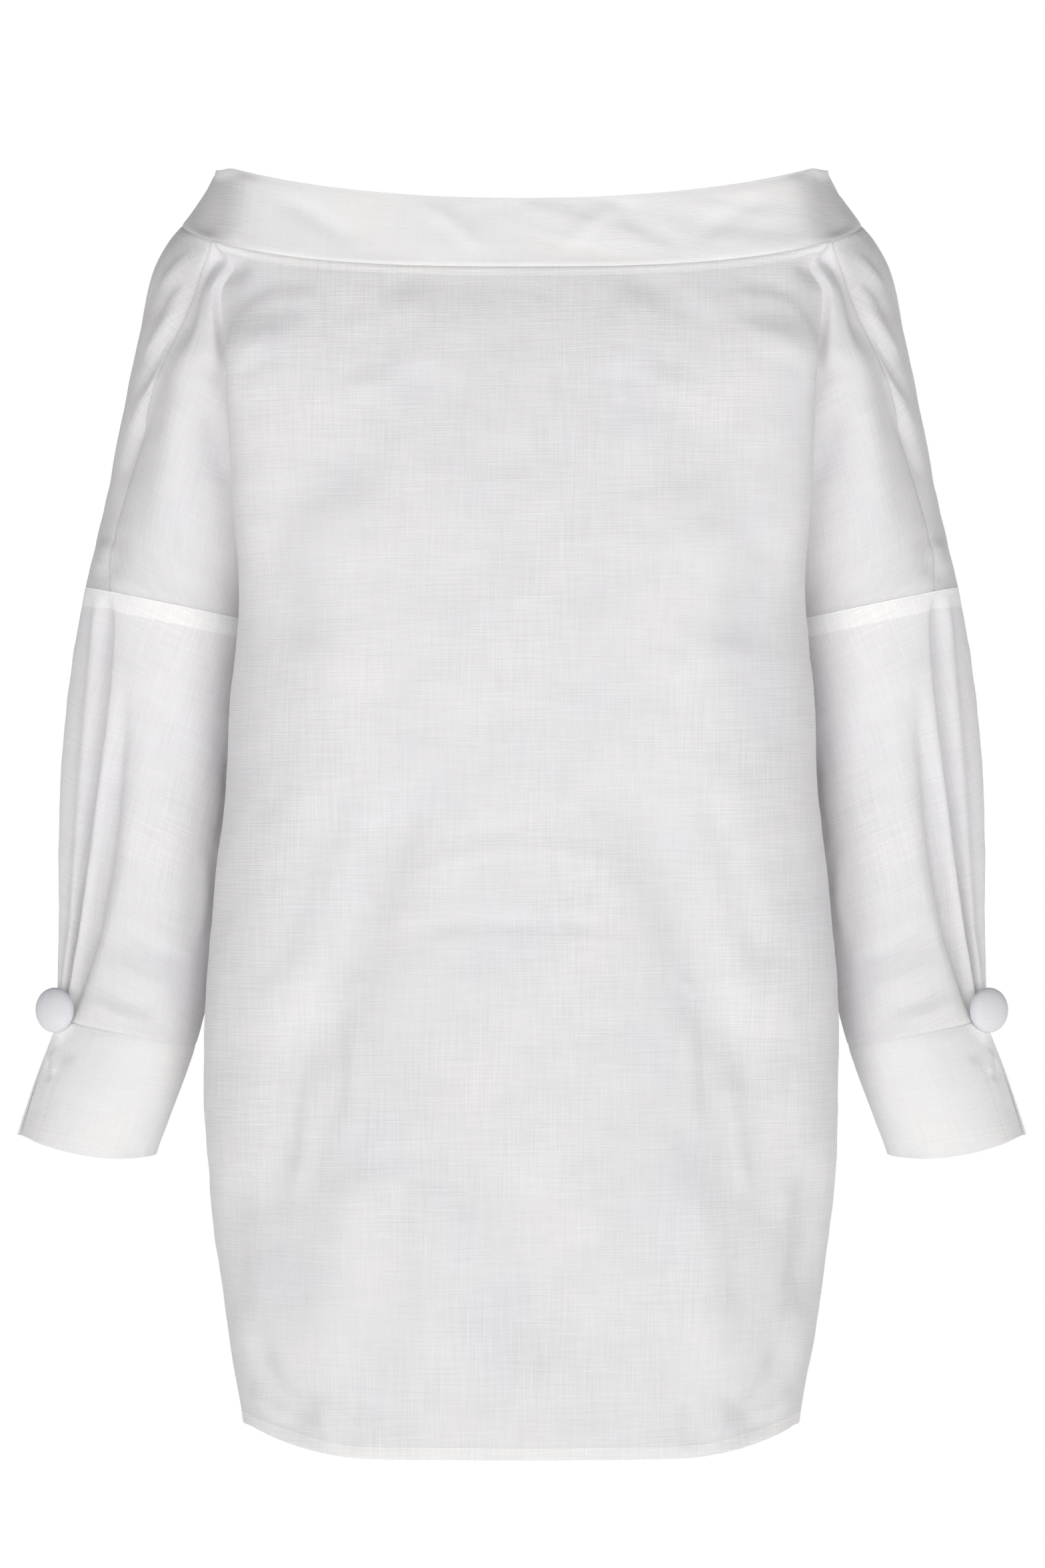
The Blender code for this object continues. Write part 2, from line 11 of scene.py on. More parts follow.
import bpy
import numpy as np
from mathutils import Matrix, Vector


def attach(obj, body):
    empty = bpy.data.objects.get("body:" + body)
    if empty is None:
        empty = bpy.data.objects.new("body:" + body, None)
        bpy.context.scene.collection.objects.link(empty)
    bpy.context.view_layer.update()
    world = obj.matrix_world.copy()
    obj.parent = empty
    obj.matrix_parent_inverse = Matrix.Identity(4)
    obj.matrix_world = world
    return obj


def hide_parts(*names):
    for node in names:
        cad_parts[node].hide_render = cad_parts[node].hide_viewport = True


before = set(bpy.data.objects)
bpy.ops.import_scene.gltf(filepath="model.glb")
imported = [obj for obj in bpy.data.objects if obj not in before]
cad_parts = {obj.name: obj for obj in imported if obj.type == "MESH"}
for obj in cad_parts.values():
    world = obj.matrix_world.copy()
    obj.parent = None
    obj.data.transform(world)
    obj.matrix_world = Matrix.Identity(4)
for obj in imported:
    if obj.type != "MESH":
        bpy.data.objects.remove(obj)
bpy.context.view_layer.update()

MM = 0.001
UP = np.array((0.0, 0.0, 1.0))
MIRROR = np.array((-1.0, 1.0, 1.0))

# Neckband
BAND_SQUARENESS = 2.8
BAND_CENTRE_Y = 5.0
BAND_TOP = {"half_width": 183.5, "front": 93.0, "back": 80.0, "end_z": 29.5, "front_z": 1.5,
            "back_z": 9.0, "sag": 0.45, "end_dip": 4.0}
BAND_FOOT = {"half_width": 204.0, "front": 112.0, "back": 97.0, "end_z": -7.6, "front_z": -40.0,
             "back_z": -33.0, "sag": 0.0, "end_dip": 0.0}
BAND_END = 0.93
BAND_RISE = 1.75
BAND_HOLLOW = 0.006
CREASE_TURN = math.radians(53.6)

# Body below the band
BODY_SQUARENESS = 2.4
TURN_SHARE = 0.78
SIDE_FLATNESS = 0.7
BAND_BLEND = 0.32
UNDERARM_Z = -246.0
HEM_FRONT_Z = -737.0
HEM_BACK_Z = -736.0
HEM_SIDE_Z = -722.0
HEM_CURVE_START = 0.27
HEM_CURVE_END = 0.65


class Curve:
    """A smooth line through the values of one table column, read at any level."""

    def __init__(self, levels, values):
        order = np.argsort(levels)
        self.x = np.array(levels, float)[order]
        self.y = np.array(values, float)[order]
        width = np.diff(self.x)
        steps = np.diff(self.y) / width
        middle = (steps[:-1] * width[1:] + steps[1:] * width[:-1]) / (width[:-1] + width[1:])
        self.slope = np.concatenate([steps[:1], middle, steps[-1:]])

    def __call__(self, level):
        level = np.clip(level, self.x[0], self.x[-1])
        i = np.clip(np.searchsorted(self.x, level) - 1, 0, len(self.x) - 2)
        width = self.x[i + 1] - self.x[i]
        t = (level - self.x[i]) / width
        low = self.y[i] * (1 + 2 * t) * (1 - t) ** 2 + self.slope[i] * width * t * (1 - t) ** 2
        high = self.y[i + 1] * t * t * (3 - 2 * t) + self.slope[i + 1] * width * t * t * (t - 1)
        return low + high


def table(columns, rows):
    """Turn rows of sizes into one Curve for each named column after the first."""
    names = columns.split()
    levels = [row[0] for row in rows]
    return {name: Curve(levels, [row[i] for row in rows]) for i, name in enumerate(names) if i}


def read_row(columns, level):
    """Return every column of a table at a level."""
    return {name: curve(level) for name, curve in columns.items()}


BODY = table("z half_front front_depth half_back back_depth", [
    (-750, 162.5, 114, 161, 104),
    (-722, 165.5, 115, 164, 105),
    (-680, 172.5, 117, 170.5, 106),
    (-640, 178.3, 119, 176, 107),
    (-600, 183.6, 121, 180.5, 107),
    (-560, 186.8, 122, 182.5, 107),
    (-510, 188.6, 123, 183, 106),
    (-450, 187, 124, 180, 104),
    (-400, 182, 125, 175, 103),
    (-340, 175.5, 127, 170, 104),
    (-300, 174, 128, 169, 106),
    (-262, 170.5, 129, 165, 109),
    (-230, 168, 129, 165, 111),
    (-187, 170, 128, 168, 113),
    (-145, 172, 125, 170, 113),
    (-100, 174, 120, 172, 111),
    (-60, 177, 112.5, 175, 107),
    (-40, 178, 107, 177, 103),
])

YOKE = table("share crease_z outer_z crease_x outer_x centre_y front_reach back_reach "
             "sweep front_turn back_turn front_z back_z seam_share", [
    (0.00, -22.8, -7.6, -177, -204, 5, 74, 65, 80, -70, 70, -40, -33, 0.03),
    (0.05, -31, -16.5, -177, -211.5, 5, 74, 68, 81, -74, 75, -47, -41, 0.05),
    (0.12, -45, -30, -177.5, -218.9, 5, 74, 71, 82, -78, 81, -58, -52, 0.09),
    (0.25, -73, -57, -176, -226.5, 6, 73, 75, 88, -82, 90, -82, -79, 0.17),
    (0.45, -120, -102, -172, -236.5, 9, 69, 72, 100, -78, 90, -125, -124, 0.27),
    (0.70, -181, -161, -165, -248, 13, 62, 66, 122, -66, 82, -183, -183, 0.345),
    (0.87, -218, -197, -160, -256.5, 15, 58, 60, 146, -54, 70, -219, -219, 0.37),
    (1.00, -246, -224, -157, -263, 16, 56, 56, 180, -44, 60, -246, -246, 0.37),
])

ARM_FOLD_LINES = table("share front_ridge seam_trough back_ridge back_trough", [
    (0.00, 0.05, 0.06, 0.95, 0.84),
    (0.20, 0.08, 0.15, 0.92, 0.80),
    (0.40, 0.15, 0.24, 0.87, 0.76),
    (0.58, 0.19, 0.31, 0.83, 0.72),
    (0.75, 0.217, 0.35, 0.80, 0.70),
    (1.00, 0.25, 0.38, 0.78, 0.68),
])
ARM_FOLDS = [
    # name, half width as a share of the way round, height
    ("front_ridge", 0.05, 3.5),
    ("seam_trough", 0.045, -2.5),
    ("back_ridge", 0.06, 2.5),
    ("back_trough", 0.07, -2.0),
]
ARM_FOLD_EDGE = 0.045
ARM_CORE_X = (-165.0, -209.0)

SIDE = table("z seam_x seam_y front_turn back_turn", [
    (-730, -164.2, 12, -28, 44),
    (-640, -176.5, 12, -32, 46),
    (-560, -184.5, 12, -36, 48),
    (-520, -183.5, 12, -38, 50),
    (-480, -178, 12, -38, 50),
    (-420, -166, 12, -40, 52),
    (-360, -154.5, 12, -40, 52),
    (-300, -150, 12, -40, 54),
    (-270, -152, 14, -42, 58),
    (-246, -157, 16, -44, 60),
])

SLEEVE = table("share outer_z outer_x inner_z inner_x centre_y front_reach back_reach pinch "
               "forward", [
    (0.00, -224, -263, -246, -157, 16, 56, 56, 0.0, 0),
    (0.10, -250, -268, -271, -160.5, 18, 56, 56, 0.10, 0),
    (0.25, -290, -273.6, -311, -164, 20, 55, 55, 0.22, 2),
    (0.45, -342, -277.4, -363, -169.5, 20, 52, 53, 0.36, 5),
    (0.65, -394, -278, -414, -176.5, 16, 47, 48, 0.48, 9),
    (0.82, -438, -277.4, -456, -184, 8, 41, 42, 0.56, 13),
    (1.00, -483, -278, -499, -195.5, -2, 37, 36, 0.60, 16),
])

PLEATS = table("share valley_1 ridge valley_2 depth_1 depth_ridge depth_2", [
    (0.00, 44, 54, 64, 0, 0, 0),
    (0.06, 46, 56, 66, 3.5, 0.5, 0),
    (0.25, 50, 60, 70, 6.5, 0.8, 1.5),
    (0.45, 46, 56, 67, 7.5, 1.0, 4.5),
    (0.65, 38, 49, 60, 7.5, 1.0, 6.5),
    (0.82, 29, 39, 49, 5.5, 1.0, 5.0),
    (1.00, 20, 28, 36, 0.8, 0.2, 0.8),
])
PLEAT_FADE_TURN = 18.0
PINCH_SWELL = 0.25

CUFF = table("share outer_z outer_x inner_z inner_x centre_y front_reach back_reach pinch "
             "forward open", [
    (0.0, -483, -278, -499, -195.5, -2, 37, 36, 0.60, 16, 13),
    (0.5, -517, -291.5, -532, -207, -8, 36, 37, 0.45, 14, 15),
    (1.0, -551.5, -303.5, -564, -218.5, -13, 35, 38, 0.30, 12, 17),
])
CUFF_EDGE_DIP = 4.8

# Soft folds of the body: where each starts and ends, its half width and its height
FOLDS = [
    # name, x and z at the top, x and z at the foot, half width, height
    ("left_drag", -70, -250, -132, -660, 24, -4.0),
    ("right_drag", 70, -250, 132, -660, 24, -4.0),
    ("left_roll", -104, -330, -158, -610, 20, 3.0),
    ("right_roll", 104, -330, 158, -610, 20, 3.0),
    ("left_hang", -38, -430, -64, -730, 18, 2.5),
    ("right_hang", 38, -430, 64, -730, 18, 2.5),
    ("left_bust", -120, -70, -92, -200, 26, -2.5),
    ("right_bust", 120, -70, 92, -200, 26, -2.5),
]


def smooth(value):
    """Ease a share from 0 to 1, level at both ends."""
    value = np.clip(value, 0.0, 1.0)
    return value * value * (3 - 2 * value)


def mix(a, b, share):
    return a + (b - a) * share


def spread(values):
    """Give each value an axis of its own, so that it scales a point."""
    return np.asarray(values, float)[..., None]


def points(x, y, z):
    """Pair up coordinates, which may be single numbers, as points."""
    return np.stack(np.broadcast_arrays(x, y, z), -1).astype(float)


def unit(vectors):
    return vectors / np.maximum(np.linalg.norm(vectors, axis=-1, keepdims=True), 1e-9)


def between_marks(place, marks, ease=None):
    """Return what lies between marks, which are given at the whole numbers of place."""
    step = np.clip(np.floor(place), 0, len(marks) - 2).astype(int)
    within = place - step
    within = ease(within) if ease else within
    return mix(np.choose(step, marks[:-1]), np.choose(step, marks[1:]), within)


def oval(turn, squareness):
    """Return how far across and how far forward an oval of half size 1 reaches."""
    across = np.sin(turn)
    forward = np.cos(turn)
    size = (abs(across) ** squareness + abs(forward) ** squareness) ** (-1 / squareness)
    return across * size, forward * size


def band_edge(edge, turn):
    """Return a point on an edge of the neckband, turn 0 at centre front, pi at centre back."""
    across, forward = oval(turn, BAND_SQUARENESS)
    reach = np.where(forward > 0, edge["front"], edge["back"])
    middle_z = np.where(forward > 0, edge["front_z"], edge["back_z"])
    sag = edge["sag"]
    drop = 1 - sag * across * across - (1 - sag) * (1 - abs(forward) ** BAND_RISE)
    z = mix(edge["end_z"], middle_z, drop)
    z = z - edge["end_dip"] * smooth((abs(across) - BAND_END) / (1 - BAND_END))
    return points(-edge["half_width"] * across, BAND_CENTRE_Y - reach * forward, z)


def band_point(share, turn):
    """Return a point of the neckband, share 0 at its top edge, 1 at its foot."""
    point = mix(band_edge(BAND_TOP, turn), band_edge(BAND_FOOT, turn), spread(share))
    hollow = 1 - BAND_HOLLOW * np.sin(math.pi * share)
    return point * points(hollow, 1, 1)


def arm_section(share, around):
    """Return a point of the upper arm's own section, before it is eased into the band."""
    size = read_row(YOKE, share)
    sweep = np.radians(size["sweep"])
    half = (size["crease_x"] - size["outer_x"]) / (1 - np.cos(sweep))
    turn = sweep * (2 * around - 1)
    reach = np.where(turn < 0, size["front_reach"], size["back_reach"])
    x = size["outer_x"] + half * (1 - np.cos(turn))
    y = size["centre_y"] + reach * np.sin(turn)
    inward = (x - size["outer_x"]) / (size["crease_x"] - size["outer_x"])
    return points(x, y, mix(size["outer_z"], size["crease_z"], inward))


def ease_from_band(point, turn, moved, level):
    """Ease a point of the yoke into the band's foot, which it meets at level 0."""
    return mix(band_edge(BAND_FOOT, turn) + moved, point, spread(smooth(level / BAND_BLEND)))


def drift(level, turn, section_at):
    """Return how far a line of the yoke has moved from where it starts at the band's foot."""
    start = band_edge(BAND_FOOT, turn)
    late = spread(1 - smooth(level / BAND_BLEND))
    return (section_at(level) - start) - (section_at(0.0 * level) - start) * late


def crease_drift(level, is_front):
    turn = CREASE_TURN if is_front else math.pi - CREASE_TURN
    return drift(level, turn, lambda share: arm_section(share, 0 if is_front else 1))


def arm_ring(share, around):
    """Return a point of the upper arm, around 0 at the front crease, 1 at the back one."""
    end_drift = drift(share, math.pi / 2, lambda level: arm_section(level, 0.5))
    is_front = spread(around) < 0.5
    nearest = np.where(is_front, crease_drift(share, True), crease_drift(share, False))
    moved = mix(end_drift, nearest, spread((2 * around - 1) ** 2))
    turn = mix(CREASE_TURN, math.pi - CREASE_TURN, around)
    point = ease_from_band(arm_section(share, around), turn, moved, share)
    core_x = mix(ARM_CORE_X[0], ARM_CORE_X[1], share)
    outward = unit(points(point[..., 0] - core_x, point[..., 1] - BAND_CENTRE_Y, 0))
    return point + outward * spread(arm_fold_height(share, around))


def arm_fold_height(share, around):
    """Return how far the folds lift the upper arm's cloth, nothing at its edges."""
    height = 0.0
    for name, half_width, lift in ARM_FOLDS:
        away = (around - ARM_FOLD_LINES[name](share)) / half_width
        height = height + lift * np.exp(-away * away)
    return height * np.sin(math.pi * share) * smooth(around * (1 - around) / ARM_FOLD_EDGE)


def fold_height(x, z):
    """Return how far the soft folds lift the body's cloth at a place."""
    height = 0.0
    for _, x_top, z_top, x_foot, z_foot, half_width, lift in FOLDS:
        along = np.clip((z_top - z) / (z_top - z_foot), 0, 1)
        away = (x - mix(x_top, x_foot, along)) / half_width
        height = height + lift * np.exp(-away * away) * np.sin(math.pi * along)
    return height


def body_point(level, share, is_front):
    """Return a point of the body's left half.

    share is 0 at the centre and 1 at the arm's crease or the side seam. level is 0 at the
    band, 1 at the underarm and 2 at the hem.
    """
    level, share = np.broadcast_arrays(np.asarray(level, float), np.asarray(share, float))
    face = "front" if is_front else "back"
    forward_sign = -1 if is_front else 1
    yoke = level <= 1
    above = np.minimum(level, 1)
    below = np.maximum(level - 1, 0)
    crease = arm_section(above, 0 if is_front else 1)
    edge_z = mix(UNDERARM_Z, HEM_SIDE_Z, below)
    seam = points(SIDE["seam_x"](edge_z), SIDE["seam_y"](edge_z), edge_z)
    edge = np.where(spread(yoke) > 0, crease, seam)
    hem_z = HEM_FRONT_Z if is_front else HEM_BACK_Z
    centre_z = np.where(yoke, YOKE[face + "_z"](above), mix(UNDERARM_Z, hem_z, below))
    side_turn = np.where(yoke, YOKE[face + "_turn"](above), SIDE[face + "_turn"](edge_z))
    hem_ease = smooth((share - HEM_CURVE_START) / (HEM_CURVE_END - HEM_CURVE_START))
    z = mix(centre_z, edge[..., 2], mix(share * share, hem_ease, below))
    half_width = BODY["half_" + face](z)
    depth = forward_sign * BODY[face + "_depth"](z)
    across, forward = oval(np.minimum(share / TURN_SHARE, 1) * math.pi / 2, BODY_SQUARENESS)
    flat_x = -half_width * across
    flat_y = mix(side_turn, depth, forward) + forward_sign * fold_height(flat_x, z) * forward
    round_side = np.clip((share - TURN_SHARE) / (1 - TURN_SHARE), 0, 1)
    round_x = mix(-half_width, edge[..., 0], smooth(round_side ** SIDE_FLATNESS))
    round_y = mix(side_turn, edge[..., 1], round_side)
    on_flat = share <= TURN_SHARE
    point = points(np.where(on_flat, flat_x, round_x), np.where(on_flat, flat_y, round_y), z)

    def middle_at(height):
        middle_z = YOKE[face + "_z"](height)
        return points(0, forward_sign * BODY[face + "_depth"](middle_z), middle_z)

    turn = CREASE_TURN * share if is_front else math.pi - CREASE_TURN * share
    middle_drift = drift(above, 0 if is_front else math.pi, middle_at)
    moved = mix(middle_drift, crease_drift(above, is_front), spread(share * share))
    return ease_from_band(point, turn, moved, level)


def tube_point(size, turn, depth):
    """Return a point of a sleeve or cuff section, turn 0 at its outer corner."""
    half = (size["inner_x"] - size["outer_x"]) / 2
    reach = np.where(turn < 0, size["front_reach"], size["back_reach"])
    narrowing = abs(np.sin(turn / 2)) ** size["pinch"]
    x = size["outer_x"] + half * (1 - np.cos(turn))
    y = size["centre_y"] + reach * np.sin(turn) * narrowing * (1 + PINCH_SWELL * size["pinch"])
    outward = (size["inner_x"] - x) / (2 * half)
    z = mix(size["inner_z"], size["outer_z"], outward)
    inward = unit(points(size["outer_x"] + half - x, size["centre_y"] - y, 0))
    y = y - size["forward"] * outward * outward
    return points(x, y, z) + inward * spread(depth)


def sleeve_turn(share, place):
    """Return how many degrees round the front from its outer corner a place of the sleeve is."""
    nothing = 0 * share
    valleys = [PLEATS[name](share) for name in ("valley_1", "ridge", "valley_2")]
    fade = valleys[-1] + PLEAT_FADE_TURN
    return between_marks(place, [nothing, *valleys, fade, nothing + 180, nothing + 360])


def sleeve_point(share, place):
    """Return a point of the left sleeve, share 0 at the drop seam, 1 at the cuff seam.

    The whole numbers of place are the outer corner, the first valley, the ridge, the second
    valley, where the pleats fade out, the inner corner and the outer corner again.
    """
    share, place = np.broadcast_arrays(np.asarray(share, float), np.asarray(place, float))
    nothing = 0 * share
    pleats = [PLEATS[name](share) for name in ("depth_1", "depth_ridge", "depth_2")]
    depth = between_marks(place, [nothing, *pleats, nothing, nothing, nothing], smooth)
    turn = -np.radians(sleeve_turn(share, place))
    turn = np.where(turn <= -math.pi, turn + 2 * math.pi, turn)
    return tube_point(read_row(SLEEVE, share), turn, depth)


def cuff_point(share, around):
    """Return a point of the left cuff, around 0 at the front flap's edge, 1 at the back's."""
    size = read_row(CUFF, share)
    open_turn = np.radians(size["open"])
    turn = -mix(open_turn, 2 * math.pi - open_turn, around)
    turn = np.where(turn <= -math.pi, turn + 2 * math.pi, turn)
    point = tube_point(size, turn, 0.0)
    dip = CUFF_EDGE_DIP * share * share * np.sin(2 * math.pi * around) ** 2
    return point - points(0, 0, dip)


# How thick the cloth looks, which is thinner than the solids, and the grid it is drawn on
SINGLE = 0.6
DOUBLE = 1.1
GRID = 3.2
SEAM_GRID = 0.9
SEAM_GROWTH = 1.4
NORMAL_STEP = 0.002
LINE_STEPS = 400
SHARP_ANGLE = math.radians(50)
# Points that round to the same place, at so many steps a millimetre, are joined
JOIN_STEPS = 200

# The groove and the shade along a seam
SEAM_DITCH = 0.45
SEAM_DITCH_WIDTH = 1.0
SEAM_GAP = 0.05
SEAM_SHADE = -0.16
SEAM_SHADE_WIDTH = 0.75

# Stitches
STITCH = 2.2
STITCH_GAP = 0.7
STITCH_RADIUS = 0.25
STITCH_SIDES = 6
STITCH_TIP = 0.35

# Double layers: how wide the allowance or hem under the cloth is, from each edge
BAND_ALLOWANCE = 5.2
DROP_ALLOWANCE = 11.5
HEM_TURN = 7.0
CUFF_FACING = 16.0
NO_STRIP = -100.0

# Creases: half width, height, how much steeper the side to the left of their way is, and the
# places, x and z, that they run through. Those with a name that starts with one_ are not
# repeated on the other side of the blouse.
FRONT_CREASES = [
    ("notch_1", 4.0, -0.5, 0, [(-164, -56), (-145, -50), (-124, -49)]),
    ("notch_2", 4.0, 0.5, 0, [(-166, -64), (-140, -58), (-116, -57)]),
    ("notch_3", 6.0, -0.5, 0, [(-168, -74), (-140, -67), (-112, -66)]),
    ("notch_4", 5.0, 0.6, 0, [(-168, -88), (-146, -80), (-124, -78)]),
    ("notch_5", 5.0, -0.6, 0, [(-168, -102), (-150, -95), (-132, -93)]),
    ("bust", 18, -2.0, 0, [(-112, -56), (-99, -82), (-84, -112)]),
    ("bust_roll", 16, 2.4, 0, [(-74, -48), (-62, -72), (-56, -110)]),
    ("bust_low", 18, -1.4, 0, [(-88, -104), (-96, -136), (-114, -176)]),
    ("side_high", 13, -2.6, 0, [(-152, -186), (-142, -226), (-126, -270)]),
    ("side_roll", 14, 2.6, 0, [(-118, -170), (-110, -230), (-98, -300)]),
    ("drag", 22, -5.2, 0.1, [(-50, -320), (-80, -386), (-98, -430), (-146, -540)]),
    ("drag_side", 12, -3.0, 0, [(-104, -330), (-122, -392), (-150, -470)]),
    ("hook", 3.2, 0.9, 0, [(-104, -466), (-97, -459), (-88, -458)]),
    ("upright_1", 4.6, -1.2, 0.2, [(-110, -462), (-106, -500), (-108, -548)]),
    ("upright_2", 5.0, 1.2, 0, [(-98, -470), (-100, -515), (-103, -562)]),
    ("upright_3", 5.0, 1.8, 0, [(-124, -500), (-126, -545), (-134, -590)]),
    ("one_arc_bright", 5.5, 0.9, 0, [(-66, -394), (-30, -383), (0, -380), (30, -383), (60, -393)]),
    ("one_arc_dark", 5.0, -0.9, 0, [(-84, -431), (-40, -425), (0, -424), (40, -425), (80, -430)]),
    ("low_drag", 20, -4.6, 0.1, [(-110, -450), (-140, -540), (-158, -640)]),
    ("low_roll", 19, 4.2, 0, [(-88, -550), (-108, -620), (-112, -706)]),
    ("low_side", 9, -1.8, 0, [(-168, -560), (-170, -604), (-160, -660)]),
    ("corner_1", 8.5, -4.8, 0, [(-160, -664), (-144, -700), (-118, -722)]),
    ("corner_2", 3.5, 1.8, 0, [(-161, -698), (-150, -710), (-136, -717)]),
    ("corner_3", 5.0, -2.2, 0, [(-156, -708), (-134, -722), (-104, -729)]),
    ("one_right_edge", 10, -3.5, 0, [(174, -552), (171, -600), (160, -658)]),
    ("one_right_low", 12, -2.4, 0, [(157, -583), (134, -612), (116, -655)]),
    ("one_centre_low", 20, -4.2, 0, [(3, -550), (8, -620), (7, -700)]),
    ("one_centre_roll", 16, 2.2, 0, [(-42, -560), (-44, -630), (-50, -700)]),
    ("hem_pull", 4.0, 1.8, 0, [(-120, -700), (-115, -718), (-112, -734)]),
    ("hem_dent", 5.0, -1.6, 0, [(-96, -698), (-99, -716), (-97, -734)]),
]

# The back hangs plainer, from the shoulders down
BACK_CREASES = [
    ("notch_1", 5.0, -0.7, 0, [(-160, -48), (-140, -43), (-118, -44)]),
    ("notch_2", 5.0, 0.7, 0, [(-164, -64), (-138, -58), (-112, -56)]),
    ("notch_3", 5.5, -0.9, 0, [(-166, -82), (-146, -74), (-122, -71)]),
    ("blade", 16, -4.2, 0, [(-96, -80), (-104, -140), (-122, -214)]),
    ("blade_roll", 14, 3.0, 0, [(-62, -90), (-68, -170), (-86, -262)]),
    ("hang_1", 13, -4.4, 0.3, [(-44, -330), (-46, -500), (-58, -692)]),
    ("hang_2", 12, 3.4, 0, [(-92, -380), (-108, -540), (-112, -722)]),
    ("hang_3", 9, -3.2, 0.3, [(-136, -400), (-138, -520), (-146, -664)]),
    ("one_cross", 6, -1.8, 0, [(-92, -236), (-20, -250), (70, -247)]),
    ("one_cross_low", 5, 1.6, 0, [(-54, -472), (20, -462), (96, -450)]),
    ("one_upright_1", 3.6, -1.8, 0.3, [(-120, -498), (-116, -545), (-113, -592)]),
    ("one_upright_2", 3.8, -2.0, 0, [(126, -452), (120, -505), (118, -562)]),
    ("one_corner", 6, -2.4, 0, [(156, -688), (142, -710), (120, -724)]),
]

# Creases of the left upper arm, seen from the front and from the back
ARM_FRONT_CREASES = [
    ("arch", 6.0, -5.6, 0,
     [(-156, -34), (-167, -27), (-181, -31), (-192, -46), (-198, -66), (-204, -94)]),
    ("pillow", 9, 6.0, 0, [(-166, -32), (-176, -50), (-181, -74), (-188, -118)]),
    ("pillow_dent", 3.5, -1.6, 0, [(-174, -44), (-178, -62), (-177, -84)]),
    ("waist", 6, -3.4, 0, [(-189, -90), (-181, -99), (-172, -104)]),
    ("low_pillow", 11, 1.8, 0, [(-197, -108), (-204, -140), (-205, -176)]),
    ("low_trough", 7, -3.2, 0, [(-185, -116), (-182, -140), (-175, -168)]),
    ("outer_trough", 9, -0.6, 0, [(-216, -110), (-224, -150), (-228, -192)]),
    ("cap_1", 2.6, 1.8, 0, [(-196, -28), (-207, -37), (-217, -50)]),
    ("cap_2", 2.6, -2.0, 0, [(-199, -40), (-211, -52), (-221, -68)]),
    ("cap_3", 2.8, 2.0, 0, [(-203, -58), (-215, -73), (-226, -92)]),
    ("cap_4", 3.2, -2.2, 0, [(-207, -74), (-219, -92), (-230, -116)]),
    ("cap_5", 3.4, 1.8, 0, [(-212, -92), (-224, -112), (-235, -138)]),
    ("cap_6", 3.6, -2.0, 0, [(-220, -120), (-231, -142), (-240, -166)]),
    ("bump", 5.0, 2.4, 0, [(-247, -196), (-250, -206), (-251, -218)]),
    ("bump_side", 5.0, -1.2, 0, [(-238, -190), (-241, -204), (-242, -220)]),
]
ARM_BACK_CREASES = [
    ("arch", 7, -5.0, 0, [(-156, -30), (-172, -32), (-184, -46), (-190, -70), (-194, -104)]),
    ("pillow", 12, 4.0, 0, [(-172, -48), (-176, -76), (-180, -116)]),
    ("drag_1", 6, -2.4, 0, [(-212, -70), (-206, -110), (-190, -150)]),
    ("drag_2", 6, 2.0, 0, [(-228, -100), (-222, -140), (-204, -186)]),
    ("drag_3", 5, -1.8, 0, [(-240, -140), (-232, -176), (-216, -206)]),
]
CREASE_END = 0.28
CREASE_STEPS = 6
CREASE_REACH = 3

# Creases of the left sleeve: as above, but placed by degrees round the front from its outer
# corner and by the share of the way down
SLEEVE_CREASES = [
    ("front_sag_1", 6, -1.2, 0, [(76, 0.74), (104, 0.79), (138, 0.80)]),
    ("front_sag_2", 5, 0.9, 0, [(66, 0.82), (96, 0.86), (130, 0.87)]),
    ("front_sag_3", 5, -1.1, 0, [(60, 0.88), (88, 0.925), (116, 0.93)]),
    ("front_sag_4", 3.5, 0.8, 0, [(54, 0.93), (76, 0.955), (98, 0.965)]),
    ("inner_1", 6, -2.2, 0, [(146, 0.28), (150, 0.42), (146, 0.55)]),
    ("inner_2", 5, 1.8, 0, [(132, 0.52), (138, 0.66), (136, 0.78)]),
    ("plateau", 9, -1.8, 0, [(98, 0.20), (104, 0.32), (100, 0.46)]),
    ("back_1", 7, -3.0, 0, [(-70, 0.12), (-82, 0.40), (-72, 0.75)]),
    ("back_2", 7, 2.5, 0, [(-104, 0.10), (-116, 0.45), (-100, 0.85)]),
    ("back_3", 6, -2.4, 0, [(-138, 0.25), (-142, 0.55), (-126, 0.9)]),
    ("elbow_1", 4, 1.6, 0, [(-40, 0.60), (-66, 0.64), (-94, 0.60)]),
    ("elbow_2", 4, -1.6, 0, [(-44, 0.67), (-72, 0.71), (-100, 0.69)]),
]
# Creases of the left cuff, placed in the same way
CUFF_CREASES = [
    ("pull_1", 4, -1.3, 0, [(30, 0.10), (42, 0.22), (60, 0.30)]),
    ("pull_2", 3.5, 1.2, 0, [(26, 0.24), (34, 0.36), (44, 0.44)]),
    ("pull_3", 3, -1.2, 0, [(22, 0.34), (30, 0.42), (40, 0.5)]),
    ("edge", 4, -1.0, 0, [(120, 0.90), (132, 0.93), (146, 0.92)]),
    ("back", 6, -1.4, 0, [(-60, 0.1), (-90, 0.4), (-84, 0.9)]),
]
BAND_CREASES = [
    ("ripple_1", 6, -0.9, 0, [(-150, 4), (-120, -10), (-96, -30)]),
    ("ripple_2", 5, 0.8, 0, [(-60, -2), (-40, -14), (-22, -34)]),
    ("one_ripple", 6, -0.8, 0, [(52, 0), (70, -14), (96, -28)]),
    ("end_ridge", 7, 1.2, 0, [(-158, 34), (-163, 8), (-172, -34)]),
    ("end_trough", 8, -2.8, 0, [(-174, 44), (-182, 10), (-192, -30)]),
]

